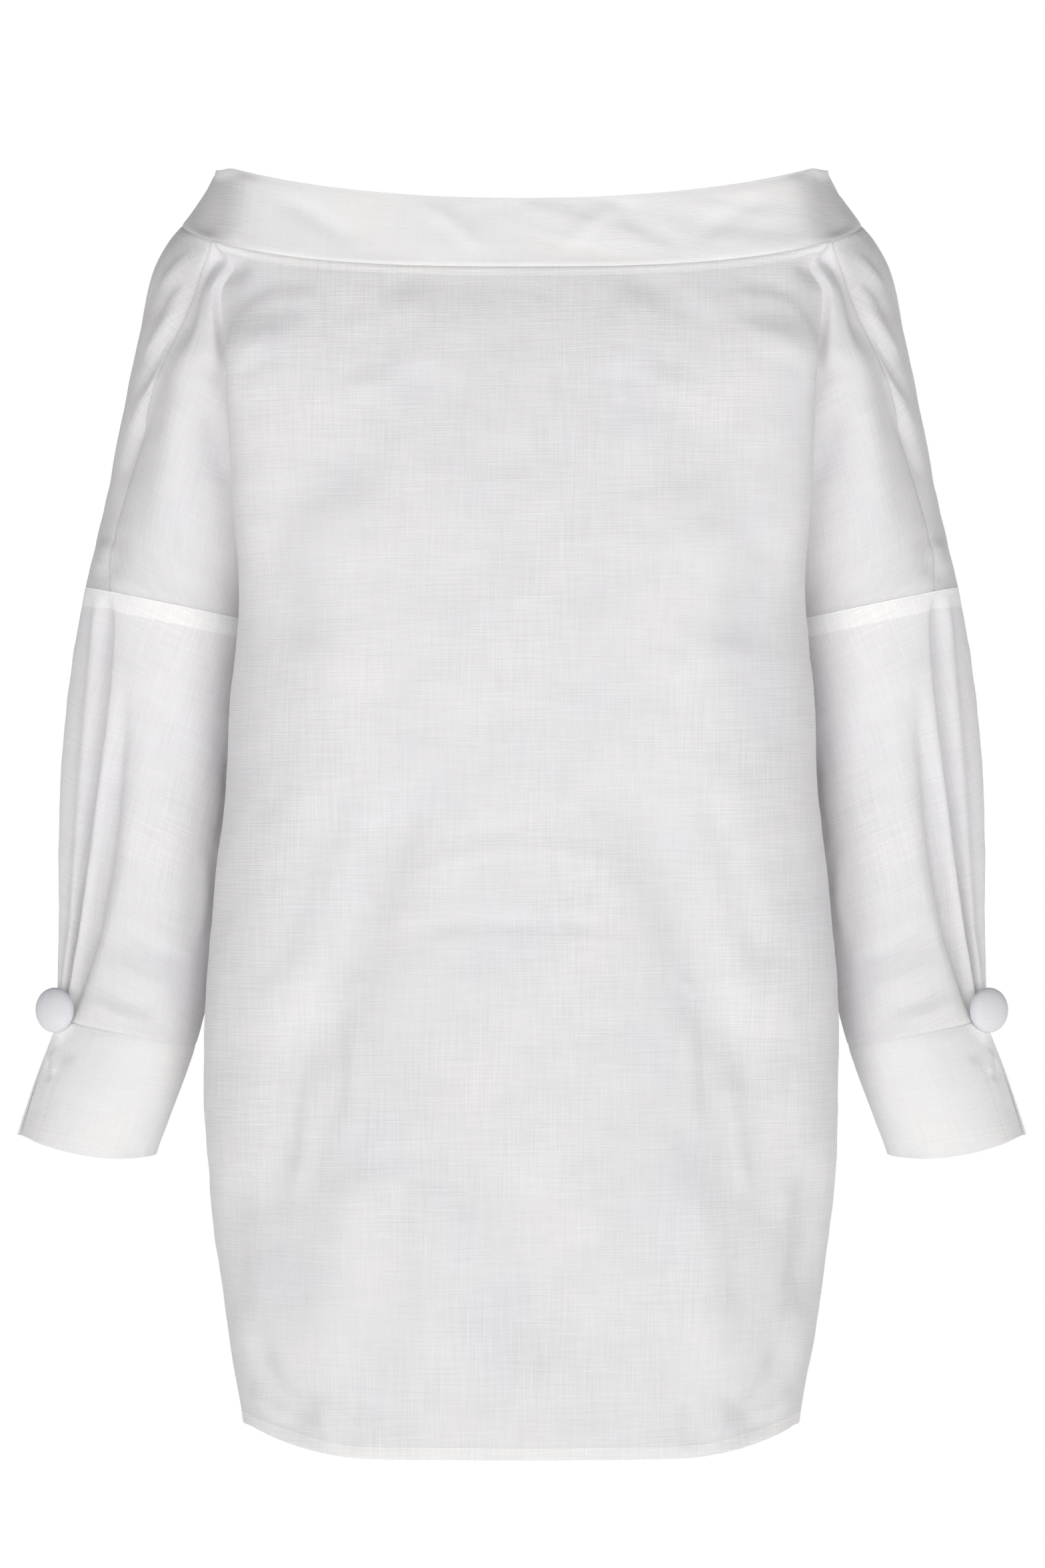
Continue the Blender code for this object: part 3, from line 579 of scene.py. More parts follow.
# Fine crumpling: wavelength and height
CRUMPLES = [(62, 0.75), (27, 0.36), (12, 0.15)]
CRUMPLE_TURN = 0.4
CRUMPLE_STRETCH = (2, 1.4)
NOISE_SIZE = 64


def noise(x, y, seed):
    """Return smooth noise from -1 to 1 that has about one bump for each unit of x and y."""
    lattice = np.random.default_rng(seed).uniform(-1, 1, (NOISE_SIZE, NOISE_SIZE))
    column, row = np.floor(x).astype(int), np.floor(y).astype(int)
    right, down = smooth(x - column), smooth(y - row)

    def corner(across, along):
        return lattice[(row + along) % NOISE_SIZE, (column + across) % NOISE_SIZE]

    upper = mix(corner(0, 0), corner(1, 0), right)
    lower = mix(corner(0, 1), corner(1, 1), right)
    return mix(upper, lower, down)


def crumple(grain, seed):
    """Return the height of the cloth's fine crumpling at a place of the cut cloth."""
    height = 0.0
    for i, (wavelength, lift) in enumerate(CRUMPLES):
        turn = i + CRUMPLE_TURN
        u = grain[..., 0] * math.cos(turn) + grain[..., 1] * math.sin(turn)
        v = grain[..., 1] * math.cos(turn) - grain[..., 0] * math.sin(turn)
        x, y = u * CRUMPLE_STRETCH[0] / wavelength, v * CRUMPLE_STRETCH[1] / wavelength
        height = height + lift * noise(x, y, seed + i)
    return height


def crease_line(places):
    """Return a smooth line through a crease's places, and how far along it each point is."""
    places = np.array(places, float)
    reach = np.concatenate([[0.0], np.cumsum(np.linalg.norm(np.diff(places, axis=0), axis=1))])
    shares = np.linspace(0, reach[-1], CREASE_STEPS * (len(places) - 1) + 1)
    line = np.stack([Curve(reach, places[:, k])(shares) for k in range(2)], -1)
    return line, shares / reach[-1]


def crease_height(across, along, creases, scale=(1, 1)):
    """Return how far a list of creases lifts the cloth at each place.

    scale turns the creases' own places into the lengths of across and along.
    """
    height = np.zeros(np.shape(across))
    spots = np.stack([across, along], -1).reshape(-1, 2)
    for _, half_width, lift, skew, places in creases:
        line, shares = crease_line(np.array(places) * scale)
        reach = CREASE_REACH * half_width
        box = (spots > line.min(0) - reach) & (spots < line.max(0) + reach)
        near = np.flatnonzero(box.all(1))
        if not len(near):
            continue
        start, run = line[:-1], np.diff(line, axis=0)
        offset = spots[near, None] - start
        share = np.clip((offset * run).sum(-1) / (run * run).sum(-1), 0, 1)
        away = np.linalg.norm(offset - share[..., None] * run, axis=-1)
        best = away.argmin(1)
        rows = np.arange(len(near))
        turn = offset[..., 0] * run[:, 1] - offset[..., 1] * run[:, 0]
        side = np.sign(turn[rows, best])
        place = mix(shares[best], shares[best + 1], share[rows, best])
        ends = smooth(place / CREASE_END) * smooth((1 - place) / CREASE_END)
        width = half_width * (1 + skew * side)
        height.reshape(-1)[near] += lift * np.exp(-(away[rows, best] / width) ** 2) * ends
    return height


def two_sided(x, z, creases):
    """Return the height of creases given for the left side that the right side has too."""
    both = [crease for crease in creases if not crease[0].startswith("one_")]
    return crease_height(x, z, creases) + crease_height(-x, z, both)


def graded(length, step, fine_start=False, fine_end=False):
    """Return places from 0 to 1 along a length, closer together next to a seam."""
    near = [SEAM_GRID]
    while near[-1] * SEAM_GROWTH < step:
        near.append(near[-1] * SEAM_GROWTH)
    start = near if fine_start else []
    end = near[::-1] if fine_end else []
    rest = length - sum(start) - sum(end)
    count = max(int(round(rest / step)), 1)
    gaps = np.concatenate([start, np.full(count, rest / count), end])
    places = np.concatenate([[0.0], np.cumsum(gaps)]) / length
    places[-1] = 1.0
    return places


def even_places(line, shares):
    """Return the places on a line of points whose lengths along it are those shares."""
    fine = np.linspace(0, 1, LINE_STEPS)
    steps = np.linalg.norm(np.diff(line(fine), axis=0), axis=-1)
    reach = np.concatenate([[0.0], np.cumsum(steps)])
    return np.interp(shares, reach / reach[-1], fine)


def run_length(grid, axis):
    """Return how far along an axis of a grid each of its points lies."""
    steps = np.linalg.norm(np.diff(grid, axis=axis), axis=-1)
    start = np.zeros_like(np.take(steps, [0], axis))
    return np.concatenate([start, np.cumsum(steps, axis)], axis)


class Patch:
    """A grid of cloth: where its points are, how they face, and what is drawn on them.

    down and across are lengths from the first row and the first column. strip is how far
    inside a double layer a point lies, tone how much lighter it is painted, mostly painted
    light and shade, and grain its place in the cut cloth.
    """

    def __init__(self, function, levels, places, outward=1, closed=False):
        first, second = levels[:, None], np.atleast_2d(places)
        self.points = function(first, second)
        down = function(first + NORMAL_STEP, second) - function(first - NORMAL_STEP, second)
        right = function(first, second + NORMAL_STEP) - function(first, second - NORMAL_STEP)
        self.facing = unit(np.cross(right, down)) * outward
        self.closed = closed
        self.down = run_length(self.points, 0)
        self.across = run_length(self.points, 1)
        self.strip = np.full(self.down.shape, NO_STRIP)
        self.tone = np.zeros(self.down.shape)
        self.grain = np.stack([self.across, self.down], -1)

    def to_foot(self):
        return self.down[-1:] - self.down

    def to_end(self):
        return self.across[:, -1:] - self.across

    def turn_grain(self, angle):
        """Lay the weave at an angle to the patch."""
        u, v = self.grain[..., 0], self.grain[..., 1]
        across = u * math.cos(angle) + v * math.sin(angle)
        down = v * math.cos(angle) - u * math.sin(angle)
        self.grain = np.stack([across, down], -1)

    def add_strip(self, depth):
        """Mark a double layer, depth being how far inside it each point lies."""
        self.strip = np.maximum(self.strip, depth)

    def shade(self, distance, amount):
        """Darken the cloth along a line, distance being how far off it each point is."""
        self.tone = self.tone + amount * np.exp(-(distance / SEAM_SHADE_WIDTH) ** 2)

    def lift(self, height):
        self.points = self.points + self.facing * spread(height)

    def mirrored(self):
        """Return the same patch for the other side."""
        other = object.__new__(Patch)
        other.__dict__.update(self.__dict__)
        other.points = self.points * MIRROR
        other.facing = self.facing * MIRROR
        return other

    def line(self, distances, target, columns):
        """Return points and facings where distances, a grid, first come to a target.

        columns says whether the line crosses the columns, as one along the foot does.
        """
        values = np.concatenate([self.points, self.facing], -1)
        if not columns:
            values, distances = values.transpose(1, 0, 2), distances.T
        spots = []
        for c in range(distances.shape[1]):
            order = np.argsort(distances[:, c])
            reach = distances[order, c]
            spots.append([np.interp(target, reach, values[order, c, k]) for k in range(6)])
        spots = np.array(spots)
        return spots[:, :3], unit(spots[:, 3:])


def ditch(distance):
    """Return the depth of the groove where two pieces are sewn together."""
    return -SEAM_DITCH * np.exp(-(distance / SEAM_DITCH_WIDTH) ** 2)


def add_attribute(mesh, name, values):
    layer = mesh.attributes.new(name, "FLOAT", "POINT")
    layer.data.foreach_set("value", np.asarray(values, np.float32))


def cell_corners(grid):
    """Return the four corners of each cell of a grid, in turn round it."""
    corners = np.stack([grid[:-1, :-1], grid[1:, :-1], grid[1:, 1:], grid[:-1, 1:]], 2)
    return corners.reshape((-1, 4) + grid.shape[2:])


def joined_attribute(patches, name, first):
    """Return one value for each joined point, twice over for the two sides of the cloth."""
    values = np.concatenate([getattr(patch, name).reshape(-1) for patch in patches])[first]
    return np.concatenate([values, values])


def shell(name, patches, thickness, material):
    """Join patches into one closed sheet of cloth, laid inwards from their points."""
    flat_points = np.concatenate([patch.points.reshape(-1, 3) for patch in patches])
    flat_facing = np.concatenate([patch.facing.reshape(-1, 3) for patch in patches])
    keys = np.round(flat_points * JOIN_STEPS).astype(np.int64)
    _, first, index = np.unique(keys, axis=0, return_index=True, return_inverse=True)
    index = index.reshape(-1)
    facing = np.zeros((len(first), 3))
    np.add.at(facing, index, flat_facing)
    foldedness = (np.bincount(index) - np.linalg.norm(facing, axis=1)) / 2
    facing = unit(facing - UP * spread(foldedness))
    outer = flat_points[first]
    count = len(outer)
    quads, grains = [], []
    start = 0
    for patch in patches:
        grid = index[start:start + patch.down.size].reshape(patch.down.shape)
        start += grid.size
        grain = patch.grain
        if patch.closed:
            grid = np.concatenate([grid, grid[:, :1]], 1)
            closing = np.linalg.norm(patch.points[:, :1] - patch.points[:, -1:], axis=-1)
            last = grain[:, -1:] + np.stack([closing, 0 * closing], -1)
            grain = np.concatenate([grain, last], 1)
        face, place = cell_corners(grid), cell_corners(grain)
        a, b, c = (outer[face[:, i]] for i in range(3))
        if (np.cross(b - a, c - a) * facing[face[:, 0]]).sum() < 0:
            face, place = face[:, ::-1], place[:, ::-1]
        quads.append(face)
        grains.append(place)
    quads, grains = np.concatenate(quads), np.concatenate(grains)
    starts, ends = quads.reshape(-1), np.roll(quads, -1, axis=1).reshape(-1)
    start_grain, end_grain = grains.reshape(-1, 2), np.roll(grains, -1, axis=1).reshape(-1, 2)
    rim = ~np.isin(starts * count + ends, ends * count + starts)
    rims = np.stack([ends[rim], starts[rim], starts[rim] + count, ends[rim] + count], -1)
    rim_grain = np.stack([end_grain[rim], start_grain[rim], start_grain[rim], end_grain[rim]], 1)
    faces = np.concatenate([quads, quads[:, ::-1] + count, rims])
    face_grain = np.concatenate([grains, grains[:, ::-1], rim_grain])
    mesh = bpy.data.meshes.new(name)
    all_points = np.concatenate([outer, outer - facing * thickness]) * MM
    mesh.from_pydata(all_points.tolist(), [], faces.tolist())
    mesh.uv_layers.new(name="grain").data.foreach_set("uv", (face_grain * MM).reshape(-1))
    for attribute in ("strip", "tone"):
        add_attribute(mesh, attribute, joined_attribute(patches, attribute, first))
    return finish_mesh(name, mesh, material)


def add_object(name, data):
    """Put a mesh, light or camera in the scene."""
    added = bpy.data.objects.new(name, data)
    bpy.context.collection.objects.link(added)
    return added


def finish_mesh(name, mesh, material):
    mesh.shade_smooth()
    mesh.set_sharp_from_angle(angle=SHARP_ANGLE)
    mesh.materials.append(material)
    return add_object(name, mesh)


def dress(piece, slot, *nodes):
    """Make a piece move with the blouse and, where nodes are named, stand for them."""
    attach(piece, "root")
    if nodes:
        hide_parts(*nodes)
    return piece


# How the pieces are laid out on their patches: how the weave is turned on them, about how long
# and wide they are, and how many millimetres round the arm their degrees are taken for
ARM_GRAIN = math.radians(-25)
SLEEVE_GRAIN = math.radians(14)
YOKE_LENGTH = 206
SKIRT_LENGTH = 492
HALF_WIDTH = 275
ARM_LENGTHS = (75, 135)
BAND_LENGTH = 1010
BAND_DEPTH = 46
SLEEVE_LENGTH = 258
CUFF_LENGTH = 70
CUFF_ROUND = 200
SLEEVE_RADIUS = 50.0
CUFF_RADIUS = 36.0

# Grid steps other than GRID, and the levels at which points are spaced evenly
BAND_GRID_DOWN = 2.2
BAND_GRID_ROUND = 3.0
SLEEVE_GRID = 2.8
SLEEVE_STEPS = (1.7, 1.5, 1.5, 1.7, 3.2, 3.2)
CUFF_GRID = 1.8
EVEN_LEVEL = 1.4
SLEEVE_EVEN_SHARE = 0.5
SLEEVE_PART_STEPS = 60

# How far from an edge creases reach their full height, and how strong the crumpling is
BAND_EASE = 14.0
EDGE_EASE = 9.0
CREASE_EASE = 6.0
FACING_EASE = 0.5
ARM_EASE = 4.0
ARM_BLEND = 1.5
BAND_CRUMPLE = 0.5
SLEEVE_CRUMPLE = 0.8
CUFF_CRUMPLE = 0.6

# Grooves, the pleats beyond the solids' own, the upper arm's bulge and the cuff's front flap
DROP_DITCH_SHARE = 0.7
STITCH_DITCH = -0.25
STITCH_DITCH_WIDTH = 0.9
PLEAT_TROUGH = -4.2
PLEAT_TROUGH_WIDTH = 4.6
PLEAT_ROLL = 3.0
PLEAT_ROLL_WIDTH = 5.0
PLEAT_ROLL_PLACE = 0.72
PLEAT_FULL_DEPTH = 5
PILLOW_SHIFT = 10.0
PILLOW_Z = -37.0
PILLOW_HEIGHT = 10.0
PILLOW_REACH = 34.0
FLAP_SET_BACK = 3.6
FLAP_WIDTH = 26.0

# Tones painted on the cloth, which stand in for part of the photo's light: the share by which
# a place is lighter, or darker where it is negative
STITCH_SHADE = -0.04
DROP_SHADE = 0.4 * SEAM_SHADE
OVERARM_SHADE = 0.7 * SEAM_SHADE
SLEEVE_FOOT_SHADE = 0.4 * SEAM_SHADE
CUFF_SEAM_SHADE = 0.2 * SEAM_SHADE
NECK_SHADE = -0.05
PLEAT_SHADE = -0.12
FACING_TONE = 0.02
SLEEVE_TONE = 0.07
BAND_TONE = 0.16
BAND_END_TONE = -0.06
BAND_SIDE_X = 150
BAND_SIDE_FADE = 30
ARM_SIDE_TONE = -0.05
ARM_SIDE_START = 0.5
ARM_SIDE_FADE = 0.4

# Covered buttons, placed as the solids are
BUTTON_RADIUS = 13.4
BUTTON_DOME = 6.5
BUTTON_RIM = 1.6
BUTTON_TURN = math.radians(-32)
BUTTON_CENTRE = (-277.7, -24.1, -477.5)
BUTTON_ROUND = 1.1
BUTTON_SIDES = 72
BUTTON_RINGS = 22
# Rings below the dome: share of the radius, and how far in and up, as shares of the rounding
BUTTON_BEVEL = [(0.6, 0, 0), (1, 1, 0), (1, 0.3, 0.35), (1, 0, 1)]
BUTTON_EDGE = 0.86
BUTTON_EDGE_SHADE = -0.05


def stitched(distance, target):
    """Return the depth of the slight groove along a line of stitches."""
    return STITCH_DITCH * np.exp(-((distance - target) / STITCH_DITCH_WIDTH) ** 2)


def pull_pillow(patch, nearness):
    """Move the front's cloth sideways, where the upper arm bulges over the body's edge."""
    x, z = patch.points[..., 0], patch.points[..., 2]
    height = np.exp(-((z - PILLOW_Z) / PILLOW_HEIGHT) ** 2) * smooth(patch.down / EDGE_EASE)
    shift = PILLOW_SHIFT * smooth(nearness) * height * (z > UNDERARM_Z)
    patch.points = patch.points - points(np.sign(x) * shift, 0, 0)


def body_at(level, place, is_front):
    """Return a point of the whole body, place running from -1 at the left to 1 at the right."""
    side = np.where(place > 0, -1.0, 1.0)
    return body_point(level, abs(place), is_front) * points(side, 1, 1)


def body_patch(is_front, seed):
    """Return the front or back of the body, with its creases, seam grooves and double layers."""
    yoke = graded(YOKE_LENGTH, GRID, fine_start=True)
    skirt = graded(SKIRT_LENGTH, GRID, fine_end=True)
    levels = np.concatenate([yoke, 1 + skirt[1:]])
    half = even_places(lambda share: body_point(EVEN_LEVEL, share, is_front),
                       graded(HALF_WIDTH, GRID, fine_end=True))
    places = np.concatenate([-half[::-1], half[1:]])
    outward = -1 if is_front else 1
    body = Patch(lambda level, place: body_at(level, place, is_front), levels, places, outward)
    centre = len(half) - 1
    to_edge = np.minimum(body.across, body.to_end())
    if is_front:
        pull_pillow(body, 1 - to_edge / PILLOW_REACH)
    to_foot = body.to_foot()
    x, z = body.points[..., 0], body.points[..., 2]
    body.grain = np.stack([body.across - body.across[:, [centre]], -z], -1)
    turned = smooth(abs(body.facing[..., 1]) / FACING_EASE)
    creases = two_sided(x, z, FRONT_CREASES if is_front else BACK_CREASES)
    height = (creases * turned + crumple(body.grain, seed)) * smooth(body.down / BAND_EASE)
    height = height + ditch(body.down)
    height = height + stitched(body.down, BAND_ALLOWANCE) + stitched(to_foot, HEM_TURN)
    in_skirt = levels[:, None] > 1
    body.lift(height * smooth(to_edge / EDGE_EASE) + ditch(to_edge) * in_skirt)
    body.shade(body.down, SEAM_SHADE)
    body.shade(body.down - BAND_ALLOWANCE, STITCH_SHADE)
    body.shade(to_foot - HEM_TURN, STITCH_SHADE)
    body.add_strip(BAND_ALLOWANCE - body.down)
    body.add_strip(HEM_TURN - to_foot)
    return body


def arm_patch(is_front, seed):
    """Return the part of the front or back that covers the left upper arm."""
    levels = graded(YOKE_LENGTH, GRID, fine_start=True)
    seam = YOKE["seam_share"](levels)[:, None]
    length = ARM_LENGTHS[0 if is_front else 1]
    places = mix(0 if is_front else 1, seam, graded(length, GRID, fine_end=True)[None, :])
    arm = Patch(arm_ring, levels, places)
    to_foot, to_seam = arm.to_foot(), arm.to_end()
    if is_front:
        pull_pillow(arm, to_seam / np.maximum(arm.across + to_seam, SEAM_GRID))
    arm.turn_grain(ARM_GRAIN if is_front else -ARM_GRAIN)
    x, z = arm.points[..., 0], arm.points[..., 2]
    from_front = crease_height(x, z, ARM_FRONT_CREASES)
    from_back = crease_height(x, z, ARM_BACK_CREASES)
    creases = mix(from_back, from_front, smooth(0.5 - ARM_BLEND * arm.facing[..., 1]))
    height = creases + crumple(arm.grain, seed) * smooth(to_seam / CREASE_EASE)
    height = height * smooth(arm.down / ARM_EASE) * smooth(to_foot / CREASE_EASE)
    height = height + ditch(arm.down) + DROP_DITCH_SHARE * ditch(to_foot) + ditch(to_seam)
    height = height + stitched(arm.down, BAND_ALLOWANCE)
    arm.lift(height * smooth(arm.across / CREASE_EASE))
    arm.shade(arm.down, SEAM_SHADE)
    arm.shade(to_foot, DROP_SHADE)
    arm.shade(to_seam, OVERARM_SHADE)
    # Painted shade where the cloth faces sideways
    sideways = smooth((abs(arm.facing[..., 0]) - ARM_SIDE_START) / ARM_SIDE_FADE)
    arm.tone = arm.tone + ARM_SIDE_TONE * sideways
    return arm


def sleeve_places():
    """Return places round the sleeve, closer together where it is pleated."""
    places = []
    for part, step in enumerate(SLEEVE_STEPS):
        line = sleeve_point(SLEEVE_EVEN_SHARE, part + np.linspace(0, 1, SLEEVE_PART_STEPS))
        length = np.linalg.norm(np.diff(line, axis=0), axis=-1).sum()
        count = int(round(length / step))
        places.append(part + np.arange(count) / count)
    return np.concatenate(places)


def sleeve_patch(seed):
    """Return the left sleeve, from the drop seam to the cuff."""
    levels = graded(SLEEVE_LENGTH, SLEEVE_GRID, fine_start=True, fine_end=True)
    share, places = levels[:, None], sleeve_places()
    sleeve = Patch(sleeve_point, levels, places, -1, closed=True)
    around = sleeve_turn(share, places)
    around = np.where(around > 180, around - 360, around)
    scale = (math.radians(1) * SLEEVE_RADIUS, SLEEVE_LENGTH)
    height = crease_height(around * scale[0], share * scale[1] + 0 * around, SLEEVE_CREASES, scale)
    trough = np.zeros(around.shape)
    for valley, depth in (("valley_1", "depth_1"), ("valley_2", "depth_2")):
        away = (around - PLEATS[valley](share)) * scale[0]
        deepness = smooth(PLEATS[depth](share) / PLEAT_FULL_DEPTH)
        trough = np.maximum(trough, deepness * np.exp(-(away / PLEAT_TROUGH_WIDTH) ** 2))
    roll_away = (around - PLEAT_ROLL_PLACE * PLEATS["valley_1"](share)) * scale[0]
    fullness = smooth(PLEATS["depth_1"](share) / PLEAT_FULL_DEPTH)
    height = height + PLEAT_TROUGH * trough
    height = height + PLEAT_ROLL * fullness * np.exp(-(roll_away / PLEAT_ROLL_WIDTH) ** 2)
    sleeve.turn_grain(SLEEVE_GRAIN)
    to_foot = sleeve.to_foot()
    height = height + SLEEVE_CRUMPLE * crumple(sleeve.grain, seed)
    height = height * smooth(sleeve.down / EDGE_EASE) * smooth(to_foot / EDGE_EASE)
    height = height + ditch(to_foot)
    height = height + stitched(sleeve.down, DROP_STITCH) + stitched(sleeve.down, DROP_ALLOWANCE)
    sleeve.lift(height)
    # Painted shade along the pleats' troughs, and painted light over the whole sleeve
    sleeve.tone = sleeve.tone + PLEAT_SHADE * trough + SLEEVE_TONE
    sleeve.shade(to_foot, SLEEVE_FOOT_SHADE)
    sleeve.add_strip(DROP_ALLOWANCE - sleeve.down)
    return sleeve


def cuff_patch(seed):
    """Return the left cuff, open at its slit."""
    levels = graded(CUFF_LENGTH, CUFF_GRID, fine_start=True, fine_end=True)
    share = levels[:, None]
    places = graded(CUFF_ROUND, CUFF_GRID, fine_start=True, fine_end=True)
    cuff = Patch(cuff_point, levels, places, -1)
    open_turn = CUFF["open"](share)
    around = mix(open_turn, 360 - open_turn, places)
    around = np.where(around > 180, around - 360, around)
    scale = (math.radians(1) * CUFF_RADIUS, CUFF_LENGTH)
    height = crease_height(around * scale[0], share * scale[1] + 0 * around, CUFF_CREASES, scale)
    to_edge = np.minimum(cuff.across, cuff.to_end())
    height = height + CUFF_CRUMPLE * crumple(cuff.grain, seed)
    height = height * smooth(cuff.down / EDGE_EASE) * smooth(to_edge / CREASE_EASE)
    height = height + ditch(cuff.down) + stitched(cuff.down, CUFF_STITCH)
    cuff.lift(height + stitched(to_edge, CUFF_FACING))
    set_back = FLAP_SET_BACK * share * smooth(1 - cuff.across / FLAP_WIDTH)
    cuff.points = cuff.points + points(set_back, 0, 0)
    cuff.shade(cuff.down, CUFF_SEAM_SHADE)
    cuff.shade(to_edge - CUFF_FACING, STITCH_SHADE)
    cuff.tone = cuff.tone + FACING_TONE * (to_edge < CUFF_FACING)
    cuff.add_strip(CUFF_FACING + 0 * cuff.down)
    return cuff


def band_patch(seed):
    """Return the neckband, a closed ring."""
    levels = graded(BAND_DEPTH, BAND_GRID_DOWN, fine_start=True, fine_end=True)
    count = round(BAND_LENGTH / BAND_GRID_ROUND)
    places = 2 * math.pi * np.arange(count) / count
    band = Patch(band_point, levels, places, 1, closed=True)
    x, z = band.points[..., 0], band.points[..., 2]
    is_front = band.facing[..., 1] < 0
    height = two_sided(x, z, BAND_CREASES) * is_front + BAND_CRUMPLE * crumple(band.grain, seed)
    height = height * smooth(band.down / CREASE_EASE) * smooth(band.to_foot() / CREASE_EASE)
    band.lift(height + ditch(band.to_foot()))
    band.shade(band.to_foot(), NECK_SHADE)
    # Painted light over the band's middle, fading to painted shade towards its ends
    to_side = smooth((abs(x) - BAND_SIDE_X) / BAND_SIDE_FADE)
    band.tone = band.tone + mix(BAND_TONE, BAND_END_TONE, to_side)
    band.add_strip(BAND_DEPTH + 0 * band.down)
    return band


def ring_faces(start, rings, sides):
    """Return the faces between rings of points that follow one another."""
    faces = []
    for base in range(start, start + (rings - 1) * sides, sides):
        for i in range(sides):
            after = (i + 1) % sides
            faces.append((base + i, base + after, base + sides + after, base + sides + i))
    return faces


def read_line(values, reach, along):
    """Return what a line of points comes to at lengths along it."""
    return np.stack([np.interp(along, reach, values[:, k]) for k in range(3)], -1)


def stitches(name, lines, material):
    """Join small spindles of thread along lines of points, each given with how it faces."""
    all_points, all_faces = [], []
    start = 0
    turns = np.linspace(0, 2 * math.pi, STITCH_SIDES, endpoint=False)
    across, up = np.cos(turns)[:, None], np.sin(turns)[:, None]
    sizes = STITCH_RADIUS * np.array([STITCH_TIP, 1, STITCH_TIP])
    spindle = len(sizes) * STITCH_SIDES
    for line, facing in lines:
        steps = np.linalg.norm(np.diff(line, axis=0), axis=1)
        reach = np.concatenate([[0.0], np.cumsum(steps)])
        count = int((reach[-1] - STITCH_GAP) / (STITCH + STITCH_GAP))
        begins = STITCH_GAP + np.arange(count) * (STITCH + STITCH_GAP)
        along = begins[:, None] + np.array([0, STITCH / 2, STITCH])
        spots = read_line(line, reach, along)
        normals = unit(read_line(facing, reach, along))
        way = unit(spots[:, 2] - spots[:, 0])
        side = unit(np.cross(way[:, None], normals))
        rounds = (side[:, :, None] * across + normals[:, :, None] * up) * sizes[:, None, None]
        all_points.append((spots[:, :, None] + rounds).reshape(-1, 3))
        for base in range(start, start + count * spindle, spindle):
            all_faces += ring_faces(base, len(sizes), STITCH_SIDES)
            all_faces.append(tuple(range(base + STITCH_SIDES - 1, base - 1, -1)))
            all_faces.append(tuple(range(base + spindle - STITCH_SIDES, base + spindle)))
        start += count * spindle
    mesh = bpy.data.meshes.new(name)
    mesh.from_pydata((np.concatenate(all_points) * MM).tolist(), [], all_faces)
    return finish_mesh(name, mesh, material)


def button_profile():
    """Return the radius and height of each ring of a button, from its back to near its top."""
    bevel = [(share * BUTTON_RADIUS - inset * BUTTON_ROUND, height * BUTTON_ROUND)
             for share, inset, height in BUTTON_BEVEL]
    tilts = np.linspace(0, math.pi / 2, BUTTON_RINGS)[:-1]
    return bevel + [(BUTTON_RADIUS * math.cos(tilt), BUTTON_RIM + BUTTON_DOME * math.sin(tilt))
                    for tilt in tilts]


def joined(*lines):
    """Join lines end to end."""
    return tuple(np.concatenate([line[k] for line in lines]) for k in range(2))


def backwards(line):
    return line[0][::-1], line[1][::-1]


def make_button(name, side, material):
    """Make a covered button: a rounded rim and a dome."""
    facing = np.array([side * -math.sin(BUTTON_TURN), -math.cos(BUTTON_TURN), 0])
    across = np.cross(UP, facing)
    centre = np.array(BUTTON_CENTRE) * (-side, 1, 1)
    radii, heights = np.array(button_profile()).T
    turns = 2 * math.pi * np.arange(BUTTON_SIDES) / BUTTON_SIDES
    circle = np.stack([np.cos(turns), np.sin(turns)], -1)
    flat = (radii[:, None, None] * circle).reshape(-1, 2)
    tip = len(flat)
    flat = np.concatenate([flat, np.zeros((2, 2))])
    height = np.concatenate([np.repeat(heights, BUTTON_SIDES), [BUTTON_RIM + BUTTON_DOME, 0]])
    spots = centre + spread(height) * facing + flat[:, :1] * across + flat[:, 1:] * UP
    faces = ring_faces(0, len(radii), BUTTON_SIDES)
    last = tip - BUTTON_SIDES
    for i in range(BUTTON_SIDES):
        after = (i + 1) % BUTTON_SIDES
        faces += [(last + i, last + after, tip), (after, i, tip + 1)]
    mesh = bpy.data.meshes.new(name)
    mesh.from_pydata((spots * MM).tolist(), [], faces)
    places = flat[np.concatenate(faces)] * MM
    mesh.uv_layers.new(name="grain").data.foreach_set("uv", places.reshape(-1))
    add_attribute(mesh, "strip", np.full(len(spots), CUFF_FACING))
    rim = smooth((radii / BUTTON_RADIUS - BUTTON_EDGE) / (1 - BUTTON_EDGE))
    tone = np.concatenate([np.repeat(BUTTON_EDGE_SHADE * rim, BUTTON_SIDES), [0, 0]])
    add_attribute(mesh, "tone", tone)
    return finish_mesh(name, mesh, material)


